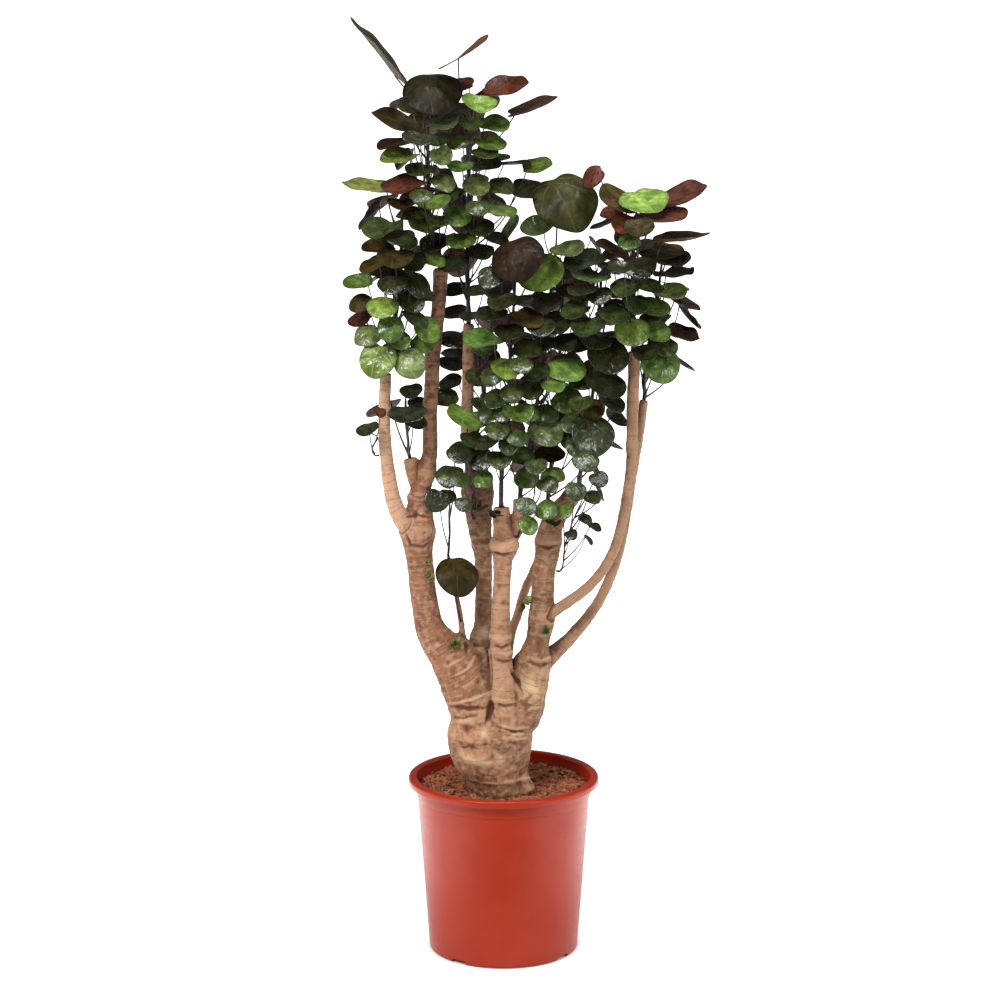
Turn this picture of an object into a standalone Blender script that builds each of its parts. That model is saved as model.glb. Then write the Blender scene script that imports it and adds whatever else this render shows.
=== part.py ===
"""Potted shield aralia: a nursery pot, its soil, one grown trunk and its leafy stems.

Metres, +Z up, seen from -Y, with the origin at the middle of the pot's base. Places on the
plant are given in millimetres, as (x, z) over the plane through the trunk for somebody who
stands in front of it, with a depth y of their own.
"""
import math
import random
from dataclasses import dataclass

import bmesh
import bpy
import numpy as np
from mathutils import Matrix, Vector

MM = 0.001
GAP = 0.3
SPUR_GAP = 0.7

# Viewer in front of the plant, in millimetres
EYE_DISTANCE = 3700.0
EYE_HEIGHT = 1325.0

# Nursery pot, in millimetres
POT_HEIGHT = 225.0
RIM_RADIUS = 120.0
RIM_DROP = 9.0
LIP_RADIUS = 111.0
RING_HEIGHT = 199.5
RING_STEP = 1.1
BASE_RADIUS = 94.0
WALL = 1.6
FLOOR_BOTTOM = 6.0
FLOOR_TOP = 8.4
FOOT_WIDTH = 7.0
FOOT_PAD_RADIUS = 20.0
POT_STEPS = 32
NOTCH_SIZE = (21.0, 24.0, 5.0)
NOTCH_TURNS = (-127.0, -37.5, 52.5, 142.5)
DRAIN_COUNT = 6
DRAIN_CIRCLE = 58.0
DRAIN_RADIUS = 5.0

# Soil, in millimetres
SOIL_TOP = 212.0
SOIL_WAVE = 1.6
SOIL_WAVE_FROM = 70.0
HOLE_FLOOR = 110.0

# Trunk stub in the soil, in millimetres
STUB_RADIUS = 38.0
STUB_X = -4.0
PLANT_DEPTH = -25.0
TRUNK_SIDES = 16
THICK_LIMB = 20.0

# Leaves, in millimetres
BLADE_THICKNESS = 0.8
WIDE_BLADE = 48.0
SMALL_BLADE = 37.0
STALK_RADIUS = 1.1
STALK_REACH = 2.0
STALK_RISE = 0.8
STALK_DROP = 14.0
BLADE_ROOT = 0.30
BLADE_ROOT_LIFT = 0.026
GOLDEN_ANGLE = math.radians(137.5)
VIEW_PITCH = math.radians(11.4)

# Clear distances that the layout of the leaves keeps, in millimetres
BLADE_TO_BLADE = 5.0
OWN_BLADE_TO_BLADE = 2.6
BLADE_TO_STALK = 3.4
OWN_BLADE_TO_STALK = 0.4
STALK_TO_STALK = 2.0

# How far blades stand out from their stem, in millimetres
READ_REACH = (22.0, 48.0)
FILL_REACH = (24.0, 56.0)
FILL_DROOP = 0.5
SPARE_ALLOWED = 2.2
DEPTH_STEP = 5.0
DEPTH_TRIALS = 29

COLOURS = {
    "pot": ((0.450, 0.048, 0.017), 0.38),
    "soil": ((0.150, 0.055, 0.030), 0.95),
    "wood": ((0.400, 0.235, 0.140), 0.80),
    "leaf": ((0.030, 0.075, 0.018), 0.32),
}

# Woody branches, root to tip: (x, z, y, radius) in millimetres
BRANCHES = {
    "left": (
        (-24, 300, 0, 42), (-42, 345, -4, 38), (-66, 380, -6, 29), (-82, 398, -8, 22),
        (-93.5, 420, -9, 18.5), (-98, 442, -10, 17.2), (-102, 475, -10, 16.6),
        (-105, 510, -10, 17), (-107, 540, -10, 22), (-105, 562, -9, 17), (-104, 585, -7, 13.5),
        (-98, 608, -5, 11.5), (-92, 635, -3, 9.8), (-91, 690, -2, 9), (-88, 735, -1, 9.2),
        (-87, 770, 0, 10), (-81, 808, 0, 8.6), (-77, 868, 1, 9.3),
    ),
    "left_thin": (
        (-112, 538, -14, 12), (-126, 554, -20, 11.5), (-136.5, 578, -22, 9.8),
        (-141.5, 603, -23, 9.2), (-145, 630, -23, 8.4), (-147.5, 660, -23, 8),
        (-147, 700, -22, 7.7), (-145.5, 738, -21, 7.6),
    ),
    "left_stub": ((-104, 590, -6, 10), (-112, 615, -4, 9.5), (-116, 632, -3, 9)),
    "middle": (
        (-15, 310, 14, 34), (-22, 355, 18, 26), (-29, 390, 20, 17), (-26, 420, 21, 11.5),
        (-25, 460, 22, 11), (-25, 500, 22, 11.2), (-28.5, 535, 22, 14), (-30.5, 560, 22, 16.5),
        (-32, 585, 22, 19.5), (-32.5, 602, 22, 18), (-36, 625, 22, 13), (-42, 655, 22, 9.5),
        (-45, 685, 22, 8), (-44, 720, 21, 7.8), (-43.5, 760, 20, 7.4), (-43, 800, 19, 7.2),
    ),
    "front": (
        (0, 310, -14, 34), (-2, 350, -20, 26), (-4, 378, -22, 15.5), (-4, 400, -23, 12.5),
        (-3.5, 440, -24, 11.5), (-2, 480, -24, 11.2), (-1, 503, -24, 12.5),
        (1, 522, -24, 17.5), (0, 538, -24, 13.5), (-2.5, 552, -24, 11), (-3, 570, -24, 10.5),
    ),
    "front_fork": ((6, 528, -22, 10), (15, 545, -20, 10), (20, 562, -18, 9.2), (20.5, 580, -17, 9)),
    "right": (
        (8, 300, -2, 36), (22, 335, -6, 31), (34, 365, -8, 24), (39, 385, -9, 17.5),
        (43, 402, -9, 15.3), (47, 425, -10, 15.2), (48.5, 455, -10, 14.6), (50, 485, -10, 14.4),
        (55, 515, -10, 15.5), (59, 545, -10, 14.5), (70, 565, -9, 12.8), (80, 578, -8, 12),
        (88, 590, -7, 11.5),
    ),
    "right_thin": (
        (50, 428, -14, 9), (62, 436, -18, 7.2), (81, 449, -22, 7), (101, 464, -24, 6.8),
        (118, 482, -25, 6.7), (131, 502, -25, 6.6), (141, 526, -24, 6.6), (148, 556, -22, 6.6),
        (154, 590, -19, 6.7), (158, 620, -17, 7), (159, 650, -15, 7.3), (159, 690, -14, 7.8),
        (160, 730, -14, 7.6), (160, 766, -14, 7.4),
    ),
    "right_low": (
        (34, 358, 0, 17), (52, 374, 4, 12.5), (66, 386, 7, 10), (80, 399, 9, 8.6), (93, 414, 11, 7.8),
        (106, 430, 12, 7.4), (120, 452, 14, 7), (132, 478, 15, 6.8), (142, 507, 16, 6.6),
        (148, 534, 17, 6.5), (153, 564, 18, 6.5), (158, 600, 19, 6.4), (164, 640, 20, 6.3),
        (170, 680, 21, 6.2), (173, 705, 21, 6),
    ),
    "back": (
        (-2, 345, 4, 14), (3, 383, 13, 9), (10, 411, 22, 6.2), (17, 430, 28, 6), (27, 465, 34, 6),
        (37, 487, 38, 6), (46, 510, 41, 5.8), (52, 545, 43, 5.5), (55, 580, 44, 5.2),
    ),
}

# Trunk from the stub to the first fork: (x, z, half width, half depth) in millimetres
TRUNK_SECTIONS = (
    (STUB_X, 214.5, STUB_RADIUS, STUB_RADIUS), (-3, 215.5, 42.0, 41), (-8, 232, 40.5, 40),
    (-14, 245, 47.5, 45), (-17, 267, 51.5, 47), (-17.5, 291, 53, 48),
    (-15, 315, 55, 47), (-14, 337, 50, 40), (-14, 351, 38, 30),
)


@dataclass(frozen=True)
class Leaf:
    """One blade as it is seen: place, length across, seen height, and turn of its long side."""

    x: float
    z: float
    across: float
    seen: float
    turn: float = 0.0


@dataclass(frozen=True)
class Shoot:
    """One leafy stem: what carries it, its way as (x, z, y), its radii, leaves and filling."""

    name: str
    host: str
    way: tuple
    radii: tuple
    leaves: tuple
    fill: int = 0
    side: float = 0.0
    side_z: float = 0.0


SHOOTS = (
    Shoot(
        "leafy_stem_left", "left_thin",
        ((-141, 765, -20), (-133, 805, -18), (-127, 850, -16), (-124, 900, -14), (-124, 950, -13)),
        (3.6, 1.8),
        (
            Leaf(-162, 968, 58, 20, -8), Leaf(-155, 756, 42, 38), Leaf(-115, 752, 36, 34),
            Leaf(-92, 794, 34, 29, -40), Leaf(-148, 822, 36, 24), Leaf(-91, 882, 37, 21, -12),
            Leaf(-178, 849, 31, 20), Leaf(-175, 826, 27, 21, 10), Leaf(-167, 786, 30, 25),
            Leaf(-139, 795, 30, 26), Leaf(-113, 829, 29, 26), Leaf(-113, 878, 36, 20, 8),
            Leaf(-106, 850, 34, 22, -35), Leaf(-148, 916, 46, 20, 5), Leaf(-124, 946, 32, 14),
            Leaf(-152, 893, 40, 18, -6), Leaf(-133, 881, 42, 20), Leaf(-160, 872, 34, 16, 12),
            Leaf(-176, 806, 30, 16, 15), Leaf(-128, 779, 24, 20), Leaf(-128, 907, 36, 18, -10),
            Leaf(-136, 850, 34, 22), Leaf(-108, 806, 30, 20, -20), Leaf(-137, 769, 24, 22),
        ),
        1,
    ),
    Shoot(
        "leafy_stem_tall", "left",
        ((-83, 892, 0), (-90, 925, -1), (-92, 970, -2), (-92, 1030, -2), (-89, 1066, -2)),
        (4.0, 1.9),
        (
            Leaf(-86, 1085, 68, 50), Leaf(-148, 1128, 92, 11, -53), Leaf(-129, 1046, 60, 25, -26),
            Leaf(-127, 1004, 42, 19), Leaf(-125, 1021, 50, 11, 4), Leaf(-122, 970, 50, 22, 4),
            Leaf(-88, 948, 42, 22), Leaf(-95, 922, 42, 25, -10), Leaf(-76, 1006, 26, 22),
            Leaf(-72, 976, 27, 21), Leaf(-103, 987, 34, 20), Leaf(-106, 1066, 40, 18, -15),
            Leaf(-73, 1045, 38, 20, 10), Leaf(-112, 935, 34, 20), Leaf(-70, 955, 32, 20),
            Leaf(-104, 1026, 34, 18),
        ),
        2,
    ),
    Shoot(
        "leafy_stem_middle", "middle",
        ((-44, 840, 18), (-44, 900, 16), (-42, 980, 14), (-40, 1040, 12), (-36, 1070, 10)),
        (3.6, 1.8),
        (
            Leaf(-47, 1128, 70, 13, 35), Leaf(2, 1086, 52, 27, 14), Leaf(33, 1064, 60, 20, 22),
            Leaf(-30, 1068, 40, 22, -8), Leaf(-50, 1090, 28, 17, 20), Leaf(-13, 1043, 37, 20, 5),
            Leaf(-16, 1022, 35, 16, -5), Leaf(-13, 942, 56, 20, -14), Leaf(-56, 932, 32, 20),
            Leaf(-35, 969, 30, 24), Leaf(-53, 993, 30, 14), Leaf(-21, 994, 32, 20),
            Leaf(12, 996, 36, 9, 4), Leaf(40, 992, 32, 15, 10), Leaf(28, 962, 42, 28, -8),
            Leaf(-55, 1026, 30, 20), Leaf(-58, 1060, 30, 18), Leaf(-5, 968, 34, 20),
            Leaf(-58, 958, 28, 20), Leaf(-30, 918, 34, 20), Leaf(-52, 900, 34, 20),
            Leaf(9, 916, 32, 13, 65), Leaf(-24, 1008, 30, 18), Leaf(-62, 875, 34, 18, 10),
        ),
        2,
    ),
    Shoot(
        "leafy_stem_front", "front",
        ((-3, 600, -25), (0, 640, -26), (6, 720, -24), (10, 790, -20), (14, 850, -16)),
        (3.4, 1.8),
        (
            Leaf(15, 882, 62, 50, 30), Leaf(46, 862, 52, 42, 35), Leaf(-16, 858, 30, 26),
            Leaf(-23, 779, 50, 19, -4), Leaf(5, 745, 38, 22), Leaf(9, 714, 26, 20),
            Leaf(-10, 707, 26, 20), Leaf(18, 689, 36, 22, -8), Leaf(-8, 668, 28, 20),
            Leaf(16, 660, 26, 19), Leaf(-2, 826, 34, 20, 8), Leaf(28, 806, 40, 22, -6),
            Leaf(6, 790, 34, 20), Leaf(-12, 740, 30, 18), Leaf(28, 770, 34, 22, 10),
            Leaf(-6, 632, 28, 18), Leaf(22, 636, 28, 20, -10), Leaf(-30, 840, 34, 18),
        ),
        1,
    ),
    Shoot(
        "leafy_stem_centre", "front_fork",
        ((24, 605, -16), (38, 680, -8), (50, 760, 2), (58, 840, 8), (64, 893, 10)),
        (3.6, 2.0),
        (
            Leaf(76, 953, 76, 66, -6), Leaf(76, 747, 47, 32), Leaf(78, 705, 36, 32),
            Leaf(52, 666, 40, 34), Leaf(33, 718, 29, 22), Leaf(42, 582, 36, 28, -10),
            Leaf(28, 608, 30, 24), Leaf(60, 800, 44, 24, 6), Leaf(84, 836, 42, 22, -12),
            Leaf(78, 892, 40, 20, 10), Leaf(40, 916, 36, 22), Leaf(58, 640, 30, 22),
            Leaf(50, 826, 36, 20), Leaf(92, 778, 38, 24), Leaf(40, 740, 30, 20), Leaf(70, 866, 34, 18),
        ),
        3,
    ),
    Shoot(
        "leafy_stem_inner_right", "right",
        ((94, 607, -8), (103, 660, -10), (112, 730, -12), (118, 800, -12), (119, 856, -10)),
        (3.8, 1.8),
        (
            Leaf(110, 662, 50, 45, -30), Leaf(128, 760, 47, 42, -20), Leaf(78, 620, 50, 42, 10),
            Leaf(107, 859, 46, 14, -8), Leaf(100, 880, 46, 20, 6), Leaf(134, 868, 32, 16, -10),
            Leaf(117, 837, 30, 18), Leaf(125, 725, 46, 26, -14), Leaf(110, 696, 28, 20),
            Leaf(140, 681, 32, 16, -25), Leaf(138, 634, 30, 18, -55), Leaf(115, 619, 28, 22),
            Leaf(69, 587, 30, 24, 40), Leaf(54, 545, 26, 20, 30), Leaf(98, 730, 34, 22),
            Leaf(104, 796, 40, 22, 8), Leaf(134, 810, 36, 22, -10), Leaf(92, 650, 30, 24),
            Leaf(132, 700, 34, 20, -30), Leaf(88, 816, 34, 20), Leaf(98, 596, 28, 20, -20),
        ),
        2,
    ),
    Shoot(
        "leafy_stem_right", "right_thin",
        ((159, 800, -14), (158, 850, -14), (158, 900, -13), (161, 932, -12)),
        (3.6, 2.0),
        (
            Leaf(216, 959, 60, 25, 27), Leaf(170, 951, 56, 28, 4), Leaf(138, 950, 48, 25, -42),
            Leaf(192, 934, 62, 24, 8), Leaf(107, 981, 28, 20, 48), Leaf(214, 905, 62, 12, 8),
            Leaf(135, 890, 44, 14, -29), Leaf(150, 923, 34, 24), Leaf(157, 791, 40, 34),
            Leaf(188, 790, 30, 24), Leaf(184, 820, 38, 22), Leaf(154, 901, 26, 18),
            Leaf(132, 938, 24, 16), Leaf(166, 872, 38, 20), Leaf(150, 846, 36, 20),
            Leaf(176, 846, 34, 18), Leaf(140, 820, 32, 22), Leaf(166, 918, 34, 18),
        ),
        2,
    ),
    Shoot(
        "leafy_stem_right_back", "right_low",
        ((172, 728, 22), (179, 780, 22), (188, 830, 22), (193, 872, 22)),
        (3.0, 1.6),
        (
            Leaf(192, 891, 56, 24, -4), Leaf(202, 876, 50, 16, 6), Leaf(209, 861, 46, 14, 4),
            Leaf(198, 839, 50, 16, -6), Leaf(221, 824, 40, 11, -24), Leaf(219, 787, 42, 16, -10),
            Leaf(196, 772, 32, 20), Leaf(193, 750, 46, 40, -20), Leaf(176, 762, 30, 22),
        ),
        1,
    ),
    Shoot(
        "leafy_stem_back", "back",
        ((57, 603, 45), (62, 660, 48), (68, 740, 50), (72, 820, 48), (74, 872, 44)),
        (3.0, 1.6),
        (),
        11,
    ),
    Shoot(
        "leafy_spur_middle", "middle",
        ((-24, 700, 26), (-22, 750, 27), (-22, 790, 27)),
        (2.6, 1.6),
        (
            Leaf(-44, 677, 50, 17, -14), Leaf(-38, 809, 32, 14), Leaf(-71, 708, 28, 20),
            Leaf(-30, 735, 32, 20), Leaf(-62, 748, 30, 20, 8), Leaf(-64, 782, 32, 20, -8),
            Leaf(-60, 690, 28, 18), Leaf(-22, 700, 30, 20), Leaf(-60, 812, 30, 18, 6),
        ),
        2, 60.0, 655.0,
    ),
    Shoot(
        "leafy_spur_left", "left_stub",
        ((-118, 652, -2), (-121, 680, 0), (-121, 704, 2)),
        (2.4, 1.4),
        (
            Leaf(-119, 690, 46, 15, 6), Leaf(-108, 677, 26, 15, -10),
            Leaf(-122, 652, 16, 13), Leaf(-112, 716, 26, 16),
        ),
        1,
    ),
    Shoot(
        "leafy_twig_low", "left",
        ((-62, 470, 24), (-69, 508, 26), (-67, 538, 26), (-68, 562, 26)),
        (3.0, 1.3),
        (
            Leaf(-58, 484, 50, 42, -25), Leaf(-83, 580, 28, 24, -20), Leaf(-66, 612, 32, 22),
            Leaf(-68, 585, 20, 14), Leaf(-117, 421, 26, 13, 12), Leaf(-56, 640, 28, 20, 10),
        ),
        0, 75.0, 412.0,
    ),
)


def seen(x, z, y):
    """Point at depth y that stands over (x, z) of the plane y = 0 for the viewer."""
    nearness = 1.0 + y / EYE_DISTANCE
    return Vector((x * nearness, y, EYE_HEIGHT + (z - EYE_HEIGHT) * nearness))


def branch_way(name):
    """Axis points and radii of a branch."""
    return [(seen(x, z, y + PLANT_DEPTH), radius) for x, z, y, radius in BRANCHES[name]]


def at_height(way, height):
    """Point and radius where a way of (point, radius) passes a height, held at its ends."""
    if height <= way[0][0].z:
        return way[0]
    for (low, low_radius), (high, high_radius) in zip(way, way[1:]):
        if low.z <= height <= high.z:
            share = (height - low.z) / (high.z - low.z)
            return low.lerp(high, share), low_radius + share * (high_radius - low_radius)
    return way[-1]


def shoot_way(shoot):
    """Axis points and radii of a leafy stem, from its seat on a branch's tip or side."""
    host = branch_way(shoot.host)
    if shoot.side_z:
        axis, radius = at_height(host, shoot.side_z)
        turn = math.radians(shoot.side)
        out = Vector((math.cos(turn), math.sin(turn), 0.0))
        seat = axis + out * (radius + SPUR_GAP)
        rest = [seat + out * 5.0, seat + out * 9.0 + Vector((0.0, 0.0, 9.0))]
    else:
        tip = host[-1][0]
        out = (tip - host[-2][0]).normalized()
        seat = tip + out * GAP
        rest = [seat + out * 9.0]
    points = [seat] + rest + [seen(x, z, y + PLANT_DEPTH) for x, z, y in shoot.way]
    first, last = shoot.radii
    steps = len(points) - 1
    return [(point, first + (last - first) * i / steps) for i, point in enumerate(points)]


@dataclass
class Placed:
    """A blade in space: where its stalk leaves the stem, its middle, its facing and tip."""

    node: str
    start: Vector
    middle: Vector
    facing: Vector
    tip: Vector
    across: float

    @property
    def root(self):
        """Where the stalk meets the cupped blade, just inside the notch."""
        back = self.middle - self.tip * self.across * BLADE_ROOT
        return back + self.facing * self.across * BLADE_ROOT_LIFT


class Room:
    """What is placed so far, as balls (wood, stems, stalks) and flat discs (blades)."""

    RINGS = ((0.0, 1), (0.34, 6), (0.67, 12), (1.0, 18))
    REACH = 120.0

    def __init__(self):
        self.names = {}
        self.balls = np.zeros((0, 5))
        self.discs = np.zeros((0, 8))
        self.disc_dots = np.zeros((0, 37, 3))

    def number(self, node):
        """Whole number that stands for a node's name."""
        return self.names.setdefault(node, len(self.names))

    @staticmethod
    def stalk_dots(placed):
        """Points along a stalk, about 4 mm apart."""
        steps = max(2, int((placed.root - placed.start).length / 4.0))
        return np.array([placed.start.lerp(placed.root, i / steps) for i in range(steps)])

    @classmethod
    def blade_dots(cls, placed):
        """Points over a blade in four rings."""
        side = placed.facing.cross(placed.tip)
        dots = []
        for share, count in cls.RINGS:
            for i in range(count):
                angle = 2.0 * math.pi * i / count
                reach = 0.5 * placed.across * share
                across = placed.tip * math.cos(angle) + side * math.sin(angle)
                dots.append(placed.middle + across * reach)
        return np.array(dots)

    def add_balls(self, rows):
        """Keep balls given as (x, y, z, radius, node number)."""
        self.balls = np.vstack((self.balls, np.array(rows)))

    def add_way(self, way, node):
        """Fill a tube's way with balls 5 mm apart."""
        rows = []
        for (low, low_radius), (high, high_radius) in zip(way, way[1:]):
            steps = max(1, int((high - low).length / 5.0))
            for i in range(steps + 1):
                share = i / steps
                radius = low_radius + share * (high_radius - low_radius)
                rows.append((*low.lerp(high, share), radius, self.number(node)))
        self.add_balls(rows)

    def add_leaf(self, placed):
        """Keep a placed leaf."""
        node = self.number(placed.node)
        self.add_balls([(*dot, STALK_RADIUS, node) for dot in self.stalk_dots(placed)])
        disc = np.array([(*placed.middle, *placed.facing, 0.5 * placed.across, node)])
        self.discs = np.vstack((self.discs, disc))
        self.disc_dots = np.concatenate((self.disc_dots, self.blade_dots(placed)[None]))

    @staticmethod
    def to_discs(dots, at, facing, size):
        """Distances from dots to flat discs, over any leading axes."""
        offset = dots - at
        above = (offset * facing).sum(-1)
        flat = np.sqrt(np.maximum((offset * offset).sum(-1) - above * above, 0.0))
        return np.hypot(above, np.maximum(flat - size, 0.0))

    def slack(self, placed):
        """Smallest spare distance of a new leaf from all the rest; below zero it is too near."""
        at, facing = np.array(placed.middle), np.array(placed.facing)
        size = 0.5 * placed.across
        node = self.number(placed.node)
        stalk, dots = self.stalk_dots(placed), self.blade_dots(placed)
        spare = [30.0]
        balls = self.balls[np.linalg.norm(self.balls[:, :3] - at, axis=1) < self.REACH]
        foreign = balls[:, 4] != node
        if len(balls):
            room = self.to_discs(balls[:, :3], at, facing, size) - balls[:, 3]
            spare.append((room - np.where(foreign, BLADE_TO_STALK, OWN_BLADE_TO_STALK)).min())
        balls = balls[foreign]
        if len(balls):
            apart = np.linalg.norm(stalk[:, None] - balls[None, :, :3], axis=2) - balls[None, :, 3]
            spare.append(apart.min() - STALK_RADIUS - STALK_TO_STALK)
        near = np.linalg.norm(self.discs[:, :3] - at, axis=1) < self.REACH
        discs = self.discs[near]
        if len(discs):
            foreign = discs[:, 7] != node
            places, facings, sizes = discs[:, None, :3], discs[:, None, 3:6], discs[:, None, 6]
            apart = self.to_discs(self.disc_dots[near], at, facing, size).min(axis=1)
            apart = np.minimum(apart, self.to_discs(dots[None], places, facings, sizes).min(axis=1))
            spare.append((apart - np.where(foreign, BLADE_TO_BLADE, OWN_BLADE_TO_BLADE)).min())
            apart = self.to_discs(stalk[None], places, facings, sizes).min(axis=1) - STALK_RADIUS
            spare.append((apart - np.where(foreign, BLADE_TO_STALK, OWN_BLADE_TO_STALK)).min())
        return min(spare)


def hang(node, way, middle, facing, across, droop):
    """Leaf with its blade at middle, its stalk led back and down to the stem."""
    axis = at_height(way, middle.z)[0]
    away = math.hypot(middle.x - axis.x, middle.y - axis.y)
    low, high = way[1][0].z, way[-1][0].z - 2.0
    start = at_height(way, min(max(middle.z - STALK_RISE * away - STALK_DROP, low), high))[0]
    lean = (middle - start).normalized() - Vector((0.0, 0.0, droop))
    tip = lean - facing * lean.dot(facing)
    return Placed(node, start, middle, facing, tip.normalized(), across)


def seen_leaf(shoot, way, leaf, depth):
    """Leaf that looks as it was read from in front, at a depth."""
    to_eye = Vector((0.0, -math.cos(VIEW_PITCH), math.sin(VIEW_PITCH)))
    turn = math.radians(leaf.turn)
    up = to_eye.cross(Vector((math.cos(turn), 0.0, math.sin(turn)))).normalized()
    share = min(0.97, leaf.seen / leaf.across)
    facing = to_eye * share + up * math.sqrt(1.0 - share * share)
    return hang(shoot.name, way, seen(leaf.x, leaf.z, depth), facing, leaf.across, 1.3 * share)


def place_read_leaves(shoot, way, room, draw):
    """Place the leaves read from in front, each moved along the view until it is clear."""
    placed = []
    for leaf in shoot.leaves:
        axis = at_height(way, leaf.z - 20.0)[0]
        reach = draw.uniform(*READ_REACH)
        depth = axis.y - math.sqrt(max(reach * reach - (leaf.x - axis.x) ** 2, 64.0))
        best = None
        for step in range(DEPTH_TRIALS):
            shift = DEPTH_STEP * ((step + 1) // 2) * (1.0 if step % 2 else -1.0)
            trial = seen_leaf(shoot, way, leaf, depth + shift)
            slack = room.slack(trial)
            if best is None or slack > best[0]:
                best = (slack, trial)
            if slack >= 0.0:
                break
        if best[0] > -SPARE_ALLOWED:
            room.add_leaf(best[1])
            placed.append(best[1])
    return placed


def place_fill_leaves(shoot, way, room, draw):
    """Place further leaves round the stem by the golden angle, mostly behind it."""
    placed = []
    low, high = way[1][0].z + 18.0, way[-1][0].z + 14.0
    for i in range(shoot.fill):
        height = low + (high - low) * (i + 0.5) / shoot.fill
        for attempt in range(14):
            turn = (i * 5 + attempt) * GOLDEN_ANGLE
            reach = draw.uniform(*FILL_REACH)
            across = draw.uniform(27.0, 45.0)
            out = Vector((math.cos(turn), math.sin(turn), 0.0))
            axis = at_height(way, height)[0]
            middle = axis + out * reach + Vector((0.0, 0.0, draw.uniform(-6.0, 6.0)))
            lean = math.radians(draw.uniform(22.0, 58.0))
            facing = Vector((0.0, 0.0, 1.0)) * math.cos(lean) + out * math.sin(lean)
            if out.y < -0.35:
                continue
            trial = hang(shoot.name, way, middle, facing, across, FILL_DROOP)
            if room.slack(trial) >= 0.0:
                room.add_leaf(trial)
                placed.append(trial)
                break
    return placed


def lay_out_leaves():
    """All leaves of all leafy stems, by the name of the stem."""
    room = Room()
    for name in BRANCHES:
        room.add_way(branch_way(name), "trunk")
    ways = {shoot.name: shoot_way(shoot) for shoot in SHOOTS}
    for name, way in ways.items():
        room.add_way(way, name)
    draw = random.Random(7)
    leaves = {}
    for shoot in SHOOTS:
        leaves[shoot.name] = place_read_leaves(shoot, ways[shoot.name], room, draw)
    for shoot in SHOOTS:
        leaves[shoot.name] += place_fill_leaves(shoot, ways[shoot.name], room, draw)
    return ways, leaves


def clear_scene():
    """Remove whatever the file opened with."""
    for item in list(bpy.data.objects):
        bpy.data.objects.remove(item)


def new_collection(name):
    """Collection under the scene's own."""
    collection = bpy.data.collections.new(name)
    bpy.context.scene.collection.children.link(collection)
    return collection


def material(name):
    """Plain material with the part's colour and roughness."""
    colour, roughness = COLOURS[name]
    found = bpy.data.materials.get(name) or bpy.data.materials.new(name)
    found.use_nodes = True
    shader = found.node_tree.nodes["Principled BSDF"]
    shader.inputs["Base Color"].default_value = (*colour, 1.0)
    shader.inputs["Roughness"].default_value = roughness
    shader.inputs["Metallic"].default_value = 0.0
    return found


def new_object(name, mesh, collection, look=None):
    """Object on a mesh, linked to a collection."""
    item = bpy.data.objects.new(name, mesh)
    collection.objects.link(item)
    if look:
        mesh.materials.append(material(look))
    return item


def object_from_bmesh(name, bm, collection, look=None):
    """Object from a bmesh built in millimetres."""
    bmesh.ops.scale(bm, vec=(MM, MM, MM), verts=bm.verts)
    bmesh.ops.recalc_face_normals(bm, faces=bm.faces)
    mesh = bpy.data.meshes.new(name)
    bm.to_mesh(mesh)
    bm.free()
    return new_object(name, mesh, collection, look)


def tube(name, way, roundness, collection, look=None):
    """Closed tube along a way of (point, radius), as a bevelled curve made a mesh."""
    curve = bpy.data.curves.new(name, "CURVE")
    curve.dimensions = "3D"
    curve.bevel_depth = 1.0
    curve.bevel_resolution = roundness
    curve.use_fill_caps = True
    spline = curve.splines.new("POLY")
    spline.points.add(len(way) - 1)
    for target, (point, radius) in zip(spline.points, way):
        target.co = (*(point * MM), 1.0)
        target.radius = radius * MM
    carrier = new_object(name + "_curve", curve, collection)
    bpy.context.view_layer.update()
    depsgraph = bpy.context.evaluated_depsgraph_get()
    mesh = bpy.data.meshes.new_from_object(carrier.evaluated_get(depsgraph))
    bm = bmesh.new()
    bm.from_mesh(mesh)
    bmesh.ops.remove_doubles(bm, verts=bm.verts, dist=1e-5)
    bm.to_mesh(mesh)
    bm.free()
    bpy.data.objects.remove(carrier)
    mesh.name = name
    return new_object(name, mesh, collection, look)


def boolean(item, operation, other=None, collection=None, solver="EXACT"):
    """Boolean modifier on one object with another or with a collection."""
    modifier = item.modifiers.new(operation.lower(), "BOOLEAN")
    modifier.operation = operation
    modifier.solver = solver
    if collection:
        modifier.operand_type = "COLLECTION"
        modifier.collection = collection
    else:
        modifier.object = other
    return modifier


def apply_modifiers(item):
    """Give an object the mesh that its modifiers make."""
    bpy.context.view_layer.update()
    depsgraph = bpy.context.evaluated_depsgraph_get()
    mesh = bpy.data.meshes.new_from_object(item.evaluated_get(depsgraph))
    item.modifiers.clear()
    item.data = mesh
    mesh.name = item.name


def fuse(item, pieces):
    """Join a collection's pieces to an object in one union and remove them."""
    boolean(item, "UNION", collection=pieces, solver="MANIFOLD")
    apply_modifiers(item)
    for piece in list(pieces.objects):
        bpy.data.objects.remove(piece)
    bpy.data.collections.remove(pieces)


def screw(item, steps):
    """Turn a profile about the Z axis."""
    modifier = item.modifiers.new("turned", "SCREW")
    modifier.steps = steps
    modifier.render_steps = steps
    modifier.use_merge_vertices = True
    modifier.merge_threshold = 0.0001
    return modifier


def profile_object(name, points, collection, look=None):
    """Profile in the XZ plane from (radius, height) points, in order."""
    bm = bmesh.new()
    corners = [bm.verts.new((radius, 0.0, height)) for radius, height in points]
    for start, end in zip(corners, corners[1:]):
        bm.edges.new((start, end))
    bmesh.ops.scale(bm, vec=(MM, MM, MM), verts=bm.verts)
    mesh = bpy.data.meshes.new(name)
    bm.to_mesh(mesh)
    bm.free()
    return new_object(name, mesh, collection, look)


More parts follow.
